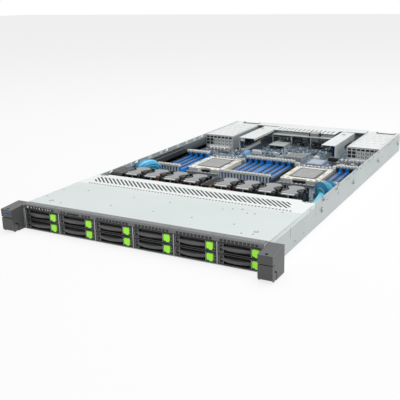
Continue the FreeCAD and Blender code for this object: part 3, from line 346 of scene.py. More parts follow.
SHIELD = look("shield_tint", (0.42, 0.50, 0.60), metal=0.2, grain=200, relief=0.4)
PLATE = look("plate_grey", (0.34, 0.35, 0.35), rough=0.35, metal=0.55, grain=260, streaks=(1, 0.2, 1))
TAN = look("tan_ceramic", (0.42, 0.33, 0.22), rough=0.5, relief=0.1)
PALE_BLUE = look("pale_blue_mould", (0.28, 0.52, 0.78), relief=0.1)
RED = look("red_wire", (0.62, 0.03, 0.03), relief=0.1)
ORANGE = look("orange_wire", (0.75, 0.24, 0.02), relief=0.1)
YELLOW = look("yellow_wire", (0.78, 0.62, 0.03), relief=0.1)
BOARD = board_look("board_mask", (0.08, 0.125, 0.17), (0.26, 0.35, 0.44), (0.74, 0.78, 0.82))
RISER_BOARD = board_look("riser_mask", (0.01, 0.07, 0.22), (0.05, 0.22, 0.42), (0.6, 0.65, 0.7))
BACK_BOARD = board_look("backplane_mask", (0.01, 0.10, 0.08), (0.04, 0.22, 0.17), (0.6, 0.6, 0.5))


# Front lid: a stepped sheet with a row of small holes and a field of slanted slots

LID_STEP = 0.4
LID_STEP_DEPTH = 127.0
# Each band of slots has its depths, its rows, how far its slots and its ends run to the left per
# depth, its ends in x, and the slots' pitch and half width.
DOTS = {"near": 144.4, "far": 149.6, "rows": 1, "slant": 0.0, "lean": 0.0, "ends": (-196, 198), "pitch": 5.96,
        "half": 1.4}
FIELD = {"near": 158.5, "far": 188.5, "rows": 10, "slant": 1.0, "lean": 0.28, "ends": (-198, 192), "pitch": 8.94,
         "half": 2.1}
PUNCHED = 0.5
DIMPLES = [(-212, 95), (-211, 51), (-164, 31), (-167, 108), (-70, 107), (1, 57), (2, 106), (-79, 54), (71, 57),
           (125, 124), (140, 110), (152, 112), (144, 56), (189, 134), (170, 26), (187, 29), (96, 112), (110, 120)]
LID_SCREWS = [(-205, 199), (205, 199), (-187, 34), (187, 40)]


def punched(shape, near, far, rows, slant, lean, ends, pitch, half):
    """A band right across the lid, PUNCHED thick, whose slots' walls take the second material, a black painted shade.
    """
    step = (far - near) / rows
    before = len(shape.mesh.faces)
    count = int((ends[1] - ends[0] + slant * (far - near)) / pitch) + 1
    for row in range(rows):
        start, end = row * step, (row + 1) * step
        edges = [(-HALF, -HALF)]
        for index in range(count):
            foot = ends[0] + index * pitch
            if ends[0] <= foot - (slant - lean) * (start + end) / 2 <= ends[1]:
                edges += [(foot + side - slant * start, foot + side - slant * end) for side in (-half, half)]
        edges.append((HALF, HALF))
        start, end = FRONT + near + start, FRONT + near + end
        for (a, b), (c, d) in zip(edges[::2], edges[1::2]):
            shape.extrude([(a, start), (c, start), (d, end), (b, end)], TOP - PUNCHED, TOP)
    # The slots' walls get the second material, black painted shade.
    shape.mesh.faces.ensure_lookup_table()
    for face in shape.mesh.faces[before:]:
        face.normal_update()
        if abs(face.normal.x) > 0.3 and abs(face.calc_center_median().x) < HALF - 1:
            face.material_index = 1


def lid_top(depth):
    """Height of the lid's upper face at a depth."""
    return TOP - (LID_STEP if depth < LID_STEP_DEPTH - 3 else 0)


def front_lid():
    """The lid, its rear band painted brighter as painted light, a black sheet under the slots as painted shade, and
    dimples and screws.
    """
    low, end, front = TOP - SHEET, cover_high.y, cover_low.y
    ridge, tongue = FRONT + LID_STEP_DEPTH, end - 7.0
    sheet, band, shade_sheet, dimples, rims, heads = shapes(6)
    sheet.extrude([(front, low - LID_STEP), (front, TOP - LID_STEP), (ridge - 3, TOP - LID_STEP), (ridge, TOP),
                   (ridge, low), (ridge - 3, low - LID_STEP)], -HALF, HALF, "x")
    reached = FRONT + 142.5
    sheet.block((-HALF, ridge, low), (HALF, reached, TOP))
    for slots in (DOTS, FIELD):
        near, far = FRONT + slots["near"], FRONT + slots["far"]
        band.block((-HALF, reached, low), (HALF, near, TOP))
        punched(band, **slots)
        # A black sheet under each band of slots paints the shade seen through them.
        shade_sheet.block((-209, near - 0.5, low - 0.3), (209, far + 0.5, low - 0.1))
        reached = far
    band.block((-HALF, reached, low), (HALF, tongue, TOP))
    band.block((-195, tongue, low), (195, end, TOP))
    for side in (-1, 1):
        sheet.block((side * (HALF - SHEET), front, cover_low.z), (side * HALF, tongue, low))
    for x, depth in DIMPLES:
        dimples.turned((x, FRONT + depth), [(1.5, -0.1), (1.5, 0.05), (0.9, 0.02)], sides=12, base=lid_top(depth))
    for x, depth in LID_SCREWS:
        middle, height = (x, FRONT + depth), lid_top(depth)
        rims.turned(middle, [(3.8, -0.2), (3.8, 0.04), (3.0, 0.08)], base=height)
        heads.turned(middle, [(2.9, 0), (2.7, 0.2), (1.5, 0.25), (1.2, 0.1)], base=height)
    piece("lid", sheet, LID, slot="cover_steel", stands_for=["front_cover"])
    # The slots' walls are black: painted shade.
    piece("lid_band_painted_light", band, PAINTED_LIGHT_BAND, painted_shade_lining=BLACK, slot="cover_steel")
    piece("lid_painted_shade_sheet", shade_sheet, BLACK)
    piece("lid_dimples", dimples, DARK)
    piece("lid_screw_rims", rims, DARK)
    piece("lid_screws", heads, TIN)


# Drive cage and bezel

BAY = 72.0
BEZEL_FLOOR = 36.2
BUTTON_UP = 39.0
LIGHTS = (15.5, 21.5, 27.0, 33.0, 39.5, 46.0, 51.0, 56.0)


def cage_and_bezel():
    """The cage, the bezel band with its vents, black painted shade behind and over the vents, the control strip, the
    pull tag and the bays' edges.
    """
    piece("bay_dividers", copied("drive_cage", lambda low, high: low.z < BEZEL_FLOOR), CAGE, slot="cage_steel",
          stands_for=["drive_cage"])
    piece("bezel_band", copied("drive_cage", lambda low, high: low.z > BEZEL_FLOOR), BEZEL, bevel=0.25,
          slot="cage_steel")
    left = -3 * BAY
    piece("control_strip", blocks(((left + 4.5, FRONT - 0.3, 36.9), (left + 62.5, FRONT + 0.2, 41.2))), BLACK,
          bevel=0.2)
    lights, ring, cap, dimples, strips, painted_vent_shade = shapes(6)
    for index, x in enumerate(LIGHTS):
        radius = 0.95 if index % 3 else 1.2
        lights.turned((left + x, BUTTON_UP), [(radius, -0.3), (radius, -0.45), (radius * 0.6, -0.5)], "y", 16, FRONT)
    piece("control_lights", lights, WHITE)
    middle = (left + 8.2, BUTTON_UP)
    ring.turned(middle, [(2.3, -0.3), (2.3, -0.5), (2.1, -0.6), (1.95, -0.45), (1.95, -0.3)], "y", 24, FRONT)
    piece("power_ring", ring, TIN)
    cap.turned(middle, [(1.7, 3.4), (1.7, -0.35), (1.45, -0.58), (0.7, -0.58), (0.6, -0.48)], "y", 24, FRONT)
    piece("power_cap", cap, WHITE, body="power_button", slot="panel_plastic", stands_for=["power_button"])
    tag = -2 * BAY + 17.4
    piece("pull_tag", blocks(((tag + 0.5, FRONT + 0.35, 37.3), (tag + 24.5, FRONT + 12, 39.9)),
                             ((tag + 9, FRONT - 0.2, 37.8), (tag + 16, FRONT + 0.35, 39.4))), BLACK, bevel=0.3)
    # A black sheet behind the vents paints the shade in them.
    painted_vent_shade.block((-2 * BAY + 1, FRONT + 3.6, 36.5), (3 * BAY - 1, FRONT + 4.0, 41.6))
    for column in range(-3, 4):
        edge = column * BAY
        for x in (edge - 9, edge + 9):
            if abs(x) < HALF - 8:
                dimples.turned((x, FRONT + 5.5), [(1.4, -0.1), (1.4, 0.05), (0.6, -0.02)], sides=12, base=TOP)
        strips.block((edge - 0.45, FRONT - 0.15, 1.3), (edge + 0.45, FRONT + 1.8, 35.4))
        # Black patches over the vents' mouths are painted shade too.
        for index in range(10) if abs(column) < 3 else ():
            if column > -2 or index < 2 or index > 6:
                x = edge + 4.9 + 6.1 * index
                painted_vent_shade.block((x - 0.1, FRONT - 0.12, 36.7), (x + 4.1, FRONT + 0.1, 40.6))
    piece("bezel_dimples", dimples, BLACK)
    piece("bay_strips", strips, SILVER, bevel=0.15)
    piece("bezel_painted_shade", painted_vent_shade, BLACK)


# Drive trays, levers and buttons, drawn once from their bay's lower left corner

TRAY_LOW = 1.5
TRAY_ROW = 17.4


def lever_shape():
    """Bowed bar with a rounded front, thinner towards its pin."""
    start, end, back, middle, rise, count = 5.0, 52.8, 5.2, 8.05, 5.4, 22
    loops = []
    for index in range(count + 1):
        t = index / count
        x = start + (end - start) * t
        swell = math.sin(math.pi * min(1, max(0, t * 1.06 - 0.06))) ** 0.75 if t > 0.06 else 0
        front = 0.8 - rise * swell
        half = 2.5 + 0.7 * math.sin(math.pi * t) ** 0.6
        loop = [(x, back, middle - half), (x, back, middle + half)]
        for step in range(9):
            turn = math.pi / 2 - math.pi * step / 8
            bulge = math.cos(turn) ** 0.55 if 0 < step < 8 else 0
            loop.append((x, back - 1.2 - (back - 1.2 - front) * bulge, middle + half * math.sin(turn)))
        loops.append(loop)
    return Shape().skin(loops)


def button_shape():
    """Rounded square key with a shallow dish."""
    middle_x, middle_z, half_x, half_z = 60.1, 8.4, 5.3, 5.1
    loops = []
    for depth, shrink, power in ((4.0, 1.0, 9), (0.4, 1.0, 9), (-0.25, 0.95, 7), (-0.55, 0.86, 6), (-0.62, 0.78, 6),
                                 (-0.45, 0.66, 5), (-0.35, 0.3, 4)):
        ring = []
        for across, up in circle((0, 0), 1, 32):
            reach = shrink * (abs(across) ** power + abs(up) ** power) ** (-1 / power)
            ring.append((middle_x + half_x * reach * across, depth, middle_z + half_z * reach * up))
        loops.append(ring)
    return Shape().skin(loops)


# Small parts of a tray's front: name, blocks, finish and bevel
TRAY_TRIM = [
    ("slot_ribs", [((10.6, 5.6, 1.3), (51.6, 6.2, 4.6)), ((10.6, 4.6, 2.7), (51.6, 5.6, 3.2)),
                   ((10.6, 5.6, 11.4), (51.6, 6.2, 14.8)), ((10.6, 4.6, 12.85), (51.6, 5.6, 13.35))], BLACK, 0),
    ("side_strip", [((53.7, -0.35, 1.6), (54.3, 1.2, 14.5)), ((53.0, 0.2, 1.4), (53.8, 1.2, 14.7))], PLATE, 0.12),
    ("rims", [((66.0, -0.2, 1.8), (70.8, 0.8, 2.5)), ((66.0, -0.2, 13.6), (70.8, 0.8, 14.3)),
              ((70.3, -0.2, 1.8), (71.0, 0.8, 14.3)), ((1.2, 0.0, 1.4), (2.8, 0.8, 14.7)),
              ((4.2, 0.1, 11.6), (9.6, 0.8, 14.4)), ((4.2, 0.1, 1.7), (9.6, 0.8, 4.5))], DARK, 0.15),
    ("pale_edges", [((3.2, -0.1, 1.5), (3.65, 0.8, 14.6)), ((9.9, -0.1, 1.5), (10.35, 0.8, 14.6)),
                    ((67.6, 0.0, 4.7), (69.0, 0.8, 5.7)), ((67.6, 0.0, 10.1), (69.0, 0.8, 11.1))], PLATE, 0.1),
]


def drive_trays():
    """Twelve trays that share their meshes: carrier, drive and trim, with a lever and a button each."""
    meshes = []
    for name, kept, finish, bevel in (("carrier", lambda a, b: a.y < FRONT + 4, TRAY, 0.25),
                                      ("disk", lambda a, b: a.y > FRONT + 4, TIN, 0.2)):
        shape = copied("drive_tray_01", kept)
        bmesh.ops.translate(shape.mesh, vec=(3 * BAY, -FRONT, -TRAY_LOW), verts=shape.mesh.verts)
        meshes.append((name, mesh_from(name, shape, finish), bevel, "tray_plastic"))
    meshes += [(name, mesh_from(name, blocks(*pairs), finish), bevel, None)
               for name, pairs, finish, bevel in TRAY_TRIM]
    lever = mesh_from("lever", lever_shape(), LEVER)
    button = mesh_from("button", button_shape(), GREEN)
    tab = mesh_from("button_tab", blocks(((59.8, -1.0, 2.4), (64.8, -0.3, 4.6))), GREEN)
    for index in range(12):
        number = f"{index + 1:02d}"
        at = ((index % 6 - 3) * BAY, FRONT, TRAY_LOW + index // 6 * TRAY_ROW)
        for name, mesh, bevel, slot in meshes:
            show(f"{name}_{number}", mesh, body=f"tray_{number}", at=at, bevel=bevel, slot=slot,
                 stands_for=[f"drive_tray_{number}"] if name == "carrier" else [])
        show(f"lever_{number}", lever, body=f"lever_{number}", at=at, slot="lever_plastic",
             stands_for=[f"tray_lever_{number}"])
        show(f"button_{number}", button, body=f"button_{number}", at=at, slot="release_green",
             stands_for=[f"release_button_{number}"])
        show(f"button_tab_{number}", tab, body=f"button_{number}", at=at, bevel=0.25, slot="release_green")


# Rack ears

def ears():
    """The ears with their doors, and a data socket in the left ear."""
    piece("ears", copied("rack_ears"), EAR, bevel=0.5, slot="ear_plastic", stands_for=["rack_ears"])
    for side in ("left", "right"):
        node = f"ear_door_{side}"
        piece(f"door_{side}_shell", copied(node), EAR, body=f"door_{side}", bevel=0.45, slot="ear_plastic",
              stands_for=[node])
    middle = -(HALF + 22.3 / 2)
    piece("socket_tongue", blocks(((middle - 5.6, FRONT - 25.5, 32.4), (middle + 5.6, FRONT - 16, 33.9))), BLUE,
          bevel=0.15)
    walls = ((-6.3, 30.65, 6.3, 31.0), (-6.3, 35.2, 6.3, 35.55), (-6.35, 30.65, -6.05, 35.55),
             (6.05, 30.65, 6.35, 35.55))
    piece("socket_shell", blocks(*[((middle + left, FRONT - 26.6, low), (middle + right, FRONT - 15.5, high))
                                   for left, low, right, high in walls]), TIN)
    piece("socket_cave", blocks(((middle - 6.2, FRONT - 16.2, 30.7), (middle + 6.2, FRONT - 15.6, 35.5))), BLACK)


# Fans, drawn once from the middle of their front edge on the floor

FAN_WIDTH = 40.0
FAN_DEPTH = 232.0
FAN_MIDDLES = [joint["pos_m"][0] / MM for joint in frame["joints"] if joint.get("continuous")]
WIRES = ((-101.5, ORANGE), (-52, RED), (-16, ORANGE), (11, YELLOW), (18, YELLOW), (48, RED))


def fan_body():
    """Dark barrel between square flanges with filled corners, and the stator with its vanes."""
    shape = Shape()
    half, reach = FAN_WIDTH / 2, 7.5
    for start, end, top in ((0, 4.5, 30.0), (7, 10, FAN_WIDTH), (26, 30, FAN_WIDTH), (51.5, 56, FAN_WIDTH)):
        whole = top == FAN_WIDTH
        bars = [(-half, 0, half, 1.3), (-half, 1.3, 1.3 - half, top - 1), (half - 1.3, 1.3, half, top - 1)]
        for left, low, right, high in bars + [(-half, top - 1, half, top)] * whole:
            shape.block((left, start, low), (right, end, high))
        for across in (-1, 1):
            for z, up in ((0, 1), (FAN_WIDTH, -1))[:1 + whole]:
                x = across * half
                fillet = [(x, z), (x - across * reach, z)]
                for step in range(1, 5):
                    turn = math.pi / 2 * step / 5
                    fillet.append((x - across * reach * (1 - math.sin(turn)), z + up * reach * (1 - math.cos(turn))))
                shape.extrude(fillet + [(x, z + up * reach)], start, end, "y")
    middle = (0, half)
    shape.turned(middle, [(19.8, 7.2), (19.8, 55.5), (18.6, 55.5), (18.6, 7.2), (19.8, 7.2)], "y", 40, caps=False)
    shape.turned(middle, [(9.4, 22.8), (9.4, 31.5)], "y", 28)
    for turn in range(5):
        outline = vane(middle, 2 * math.pi * turn / 5 + 0.3, ((9, -0.08), (18.9, 0.02), (18.9, 0.10), (9, 0.08)))
        shape.extrude(outline, 24, 30, "y")
    return shape


def fan_plugs():
    """Round rubber plugs between the fans, and rounded blocks at the corners."""
    shape = Shape()
    for x in (-14.2, 14.2):
        shape.turned((x, 29), [(5.7, 30.0), (5.7, 39.8), (5.2, 40.8), (3.6, 41.1), (3.2, 40.2), (1.6, 40.2)], sides=28)
        for start, long in ((4.0, 10.5), (46.5, 10.1)):
            shape.turned((x, 35.9), [(2.4, 0), (4.0, 0.4), (4.6, 1.4), (4.6, 3.0), (3.5, 3.4), (3.5, long - 3.2),
                                     (4.6, long - 2.8), (4.6, long - 1.2), (3.8, long)], "y", 22, start)
    return shape


def fan_top():
    """Hourglass plate over the barrel, with a raised label field."""
    points = [(9.5, 7.4), (12.0, 10.0), (15.2, 13.0), (15.6, 15.5)]
    for step in range(1, 12):
        t = step / 12
        points.append((15.0 - 7.6 * math.sin(math.pi * t) ** 0.7, 16.5 + 25.5 * t))
    points += [(15.6, 43.5), (15.2, 47.0), (11.2, 52.4), (8.5, 55.0)]
    outline = points + [(-a, b) for a, b in points[::-1]]
    shape = Shape().extrude(outline, FAN_WIDTH - 1.2, FAN_WIDTH + 0.9)
    return shape.block((-4.6, 20, FAN_WIDTH + 0.9), (4.6, 36, FAN_WIDTH + 1.05))


def rotor_shape():
    """Hub with a domed nose and five twisted blades."""
    shape = Shape()
    shape.turned((0, 20), [(2.5, 3.0), (6.5, 3.3), (8.6, 4.6), (9.0, 6.5), (9.0, 22.0)], "y", 28)
    shape.turned((0, 20), [(1.5, 22.0), (1.5, 28.0)], "y", 14)
    for blade in range(5):
        loops = []
        for step in range(7):
            t = step / 6
            radius = 8.6 + 8.4 * t
            pitch = math.radians(38 + 18 * t)
            chord = 8.0 + 1.5 * t
            ring = []
            for along, thick in ((-1, 0), (-0.4, 0.5), (0.3, 0.5), (1, 0), (0.3, -0.35), (-0.4, -0.35)):
                around = along * chord * math.sin(pitch) + thick * math.cos(pitch)
                y = 12.5 + along * chord * math.cos(pitch) - thick * math.sin(pitch)
                angle = 2 * math.pi * blade / 5 + around / radius + 0.15 * t
                ring.append((radius * math.cos(angle), y, 20 + radius * math.sin(angle)))
            loops.append(ring)
        shape.skin(loops)
    return shape


def fans():
    """Eight fans that share their meshes, the post and the duct beside them, and their leads."""
    body = mesh_from("fan_body", fan_body(), BLACK)
    plugs = mesh_from("fan_plugs", fan_plugs(), DARK)
    top = mesh_from("fan_top", fan_top(), FAN_TOP)
    # The thin white upright stands for a clip; the white bar along the front top edge is a painted highlight.
    clip_and_painted_highlight = mesh_from("fan_clip_and_painted_highlight", blocks(((-0.9, 6.2, 27), (0.9, 6.9, 38.6)), ((-12, 3.2, 38.1), (12, 7.2, 40.1))), WHITE)
    rotor = mesh_from("rotor", rotor_shape(), BLACK)
    for index, middle in enumerate(FAN_MIDDLES, start=1):
        at = (middle, FRONT + FAN_DEPTH, SHEET)
        show(f"fan_body_{index}", body, at=at, slot="fan_plastic", stands_for=["fan_housings"])
        show(f"fan_plugs_{index}", plugs, at=at)
        show(f"fan_top_{index}", top, at=at, bevel=0.2, slot="fan_plastic")
        show(f"fan_clip_and_painted_highlight_{index}", clip_and_painted_highlight, at=at, bevel=0.12)
        show(f"rotor_{index}_blades", rotor, body=f"rotor_{index}", at=at, slot="rotor_plastic",
             stands_for=[f"fan_rotor_{index}"])
    post = blocks(((-14, FRONT + 242, SHEET), (3, FRONT + 301, 36.4)))
    for index in range(9):
        post.block((-13, FRONT + 246 + 6 * index, 36.4), (2, FRONT + 248.5 + 6 * index, 37.2))
    piece("post_block", post, BLACK, bevel=0.4)
    piece("post_sides", blocks(*[((x, FRONT + 240, SHEET), (x + 1, FRONT + 302, 37)) for x in (-15, 3)]), PLATE,
          bevel=0.2)
    left, right = FAN_MIDDLES[0] - 47, FAN_MIDDLES[0] - 20.4
    section = moved([(232, 24.0), (288, 24.0), (288, 34.0), (280, 40.6), (236, 40.6), (232, 37.0)], FRONT, 0)
    duct = Shape().extrude(section, left, right, "x")
    duct.block((left + 4, FRONT + 240, 40.6), (right - 12, FRONT + 270, 41.0))
    piece("side_duct", duct, BLACK, bevel=0.8)
    for index, (x, colour) in enumerate(WIRES, start=1):
        path = []
        for t in [step / 14 for step in range(15)]:
            arch = math.sin(math.pi * t)
            path.append((x - 9 + 18 * t, FRONT + 228.6 - 2.0 * arch, 30 + 8.5 * arch + math.sin(9 * t) * 0.6))
        wire = Shape().tube(path, 0.7).tube([(a, b - 1.5, c - 1.2) for a, b, c in path], 0.7)
        piece(f"fan_wire_{index}", wire, colour)


# Memory sockets

BANK_DEPTH = 373.0
SLOT_PITCH = 7.0
SLOT_LENGTH = 136.0
BANKS = [(-169.0, 8), (9.5, 16), (186.3, 8)]
# Outline of a latch: inwards from the socket's end, and up from the board
LATCH = [(-0.8, 1.5), (5.4, 1.5), (5.8, 12), (7.4, 16), (7.4, 19.5), (4.2, 21), (-1.6, 21), (-2.4, 19.2), (-1.6, 17),
         (-0.8, 15.5)]


def memory():
    """Sockets in three banks, black and blue in turn, with towers and latches at both ends."""
    blue, black, latches, contacts = shapes(4)
    base, near, far = BOARD_TOP, FRONT + BANK_DEPTH, FRONT + BANK_DEPTH + SLOT_LENGTH
    for middle, count in BANKS:
        for index in range(count):
            x = middle + (index - (count - 1) / 2) * SLOT_PITCH
            shape, half = (blue, 3.8) if (index + index // 8) % 2 else (black, 2.9)
            shape.block((x - half, near, base), (x + half, far, base + 3.2))
            for rail in ([(-half, 3.2), (-0.9, 3.2), (-0.9, 8.6), (0.6 - half, 8.6)],
                         [(0.9, 3.2), (half, 3.2), (half - 0.6, 8.6), (0.9, 8.6)]):
                shape.extrude(moved(rail, x, base), near + 4, far - 4, "y")
            shape.block((x - half, near + 74, base + 3.2), (x + half, near + 77, base + 8.2))
            for end, way in ((near, 1), (far, -1)):
                for left, right in ((-half, -1.9), (1.9, half)):
                    shape.block((x + left, end, base + 3.2), (x + right, end + way * 8.6, base + 16.5))
                shape.block((x - 1.9, end + way * 7.6, base + 3.2), (x + 1.9, end + way * 8.6, base + 15.5))
                latches.extrude([(end + way * a, base + b) for a, b in LATCH], x - 1.85, x + 1.85, "x")
                latches.block((x - 3.15, end - way * 2.4, base + 16.8), (x + 3.15, end + way * 6.6, base + 21.0))
            for left in (-0.85, 0.5):
                contacts.block((x + left, near + 7, base + 3.0), (x + left + 0.35, far - 7, base + 7.6))
    piece("memory_blue", blue, BLUE, bevel=0.2, slot="memory_plastic", stands_for=["memory_slots"])
    piece("memory_black", black, BLACK, bevel=0.2, slot="memory_plastic")
    piece("memory_latches", latches, CREAM, bevel=0.35, slot="memory_plastic")
    piece("memory_contacts", contacts, TAN)


# Processor frames, each with the middle and whether its front bar has a round bite

SOCKETS = [(-97.5, True), (114.0, False)]
SOCKET_DEPTH = 402.0


def processors():
    """Cream frames over dark wells, with raised lids, screws and marks."""
    frames, lids, wells, screws, marks = shapes(5)
    base, top, y = BOARD_TOP, BOARD_TOP + 10.4, FRONT + SOCKET_DEPTH
    for middle, round_bite in SOCKETS:
        wells.block((middle - 37, y + 6, base), (middle + 37, y + 96, base + 6.4))
        bite = [(-15, 7.5), (15, 7.5)]
        if round_bite:
            bite = [(-15 * math.cos(math.pi * s / 10), 8.5 * math.sin(math.pi * s / 10)) for s in range(1, 10)]
        front_bar = [(-40, 3), (-37, 0), (-15, 0), *bite, (15, 0), (37, 0), (40, 3), (40, 16), (-40, 16)]
        rear_bar = [(-40, 91), (40, 91), (40, 99), (37, 102), (20, 102), (18, 99), (-18, 99), (-20, 102), (-37, 102),
                    (-40, 99)]
        for bar in (front_bar, rear_bar):
            frames.extrude(moved(bar, middle, y), base, top)
        for side in (-1, 1):
            frames.block((middle + side * 29.5, y + 16, base), (middle + side * 40, y + 91, top))
            for depth in (24, 60):
                frames.block((middle + side * 31.5, y + depth, top), (middle + side * 38, y + depth + 20, top + 1.6))
        plate = [(-21, 19), (21, 19), (26, 24), (26, 82), (21, 87), (-21, 87), (-26, 82), (-26, 24)]
        lids.extrude(moved(plate, middle, y), base + 6.2, top - 1.4)
        raised = [(a * 0.93, 53 + (b - 53) * 0.95) for a, b in plate]
        lids.extrude(moved(raised, middle, y), top - 1.4, top + 0.6)
        for a in (-34.5, 34.5):
            for b in (8, 52, 96):
                screws.turned((middle + a, y + b), [(3.0, -0.5), (3.0, 1.3), (2.4, 1.8), (1.3, 1.8), (1.2, 0.9)],
                              sides=18, base=top)
        for a in (-24, 24):
            for b in (5, 97):
                marks.block((middle + a - 3, y + b - 1.5, top - 0.2), (middle + a + 3, y + b + 1.5, top + 0.15))
        for a in (-8, -2.6, 2.6, 8):
            marks.block((middle + a - 1, y + 9.0, top - 3), (middle + a + 1, y + 12, top - 1.5))
    piece("processor_frames", frames, CREAM, bevel=0.5, slot="socket_frame", stands_for=["cpu_sockets"])
    piece("processor_wells", wells, BLACK, bevel=0.3)
    piece("processor_lids", lids, PLATE, bevel=0.4)
    piece("processor_screws", screws, TIN)
    piece("processor_marks", marks, DARK)


# Motherboard and its small parts; places are x and depth, sizes are wide, long and high

BOARD_OUTLINE = [(-214.5, 305), (214.5, 305), (214.5, 622), (136, 622), (136, 806), (-136, 806), (-136, 622),
                 (-214.5, 622)]
PORTS = [(-38, 16, 14), (-18, 16, 14), (1, 15, 15.5), (27, 31, 12)]
CHIPS = [(-30, 590, 24, 24, 2.2), (98, 560, 18, 18, 2.0), (-60, 560, 14, 20, 1.8), (70, 700, 16, 16, 1.8),
         (-40, 690, 22, 22, 2.0), (10, 650, 14, 14, 1.6), (160, 560, 16, 22, 1.8), (-170, 560, 14, 14, 1.6),
         (30, 730, 18, 12, 1.6), (-150, 590, 18, 10, 1.6), (126, 590, 20, 12, 1.8), (55, 660, 10, 18, 1.6)]
# First place, pitch and count
CAN_ROWS = [(-200, 318, 9, 9), (30, 316, 9, 12), (-190, 604, 9, 5), (140, 604, 9, 6), (-75, 770, 10, 4)]
PLUGS = {"white": [(-70, 610, 22, 8, 9), (78, 612, 12, 9, 8), (52, 540, 26, 6, 8), (-64, 742, 8, 26, 9),
                   (150, 545, 26, 7, 7), (-195, 545, 26, 8, 9), (60, 345, 30, 8, 8), (-20, 352, 24, 8, 8)],
         "black": [(118, 610, 22, 6, 8), (-20, 540, 50, 7, 9), (70, 760, 9, 40, 10), (45, 712, 26, 6, 7),
                   (196, 556, 18, 6, 6), (-110, 350, 40, 8, 9), (130, 350, 36, 8, 9)],
         "blue": [(-88, 590, 8, 30, 9)]}
# Fields of small parts: left, right, near, far and count
FIELDS = [(-208, 208, 306, 370, 420), (-208, 208, 514, 620, 900), (-84, 84, 622, 782, 760), (-136, -124, 622, 800, 50),
          (98, 134, 622, 800, 120), (-56, -47, 400, 512, 40), (66, 72, 400, 512, 30)]
KINDS = [("white", WHITE, 0.36), ("black", CHIP, 0.34), ("tan", TAN, 0.08), ("tin", TIN, 0.17),
         ("blue", PALE_BLUE, 0.05)]
# Areas that are taken: left, right, near and far
BUSY = [(-136, 136, 784, 815), (-122, -86, 620, 806), (84, 96, 620, 806), (72, 110, 554, 600), (18, 62, 558, 608)]
for bank_middle, bank_count in BANKS:
    bank_reach = bank_count * SLOT_PITCH / 2 + 1
    BUSY.append((bank_middle - bank_reach, bank_middle + bank_reach, 368, 514))
for socket_middle, _ in SOCKETS:
    BUSY.append((socket_middle - 42, socket_middle + 42, 399, 507))


def free(x, depth, reach):
    """Whether a spot on the board is clear of what stands there."""
    return all(x + reach < a or x - reach > b or depth + reach < c or depth - reach > d for a, b, c, d in BUSY)


def take(x, depth, wide, long):
    """Mark an area of the board as taken."""
    BUSY.append((x - wide / 2, x + wide / 2, depth - long / 2, depth + long / 2))


def stand(shape, x, depth, wide, long, high, low=0.0):
    """A block about a place, between two heights above the board."""
    y = FRONT + depth
    shape.block((x - wide / 2, y - long / 2, BOARD_TOP + low), (x + wide / 2, y + long / 2, BOARD_TOP + high))


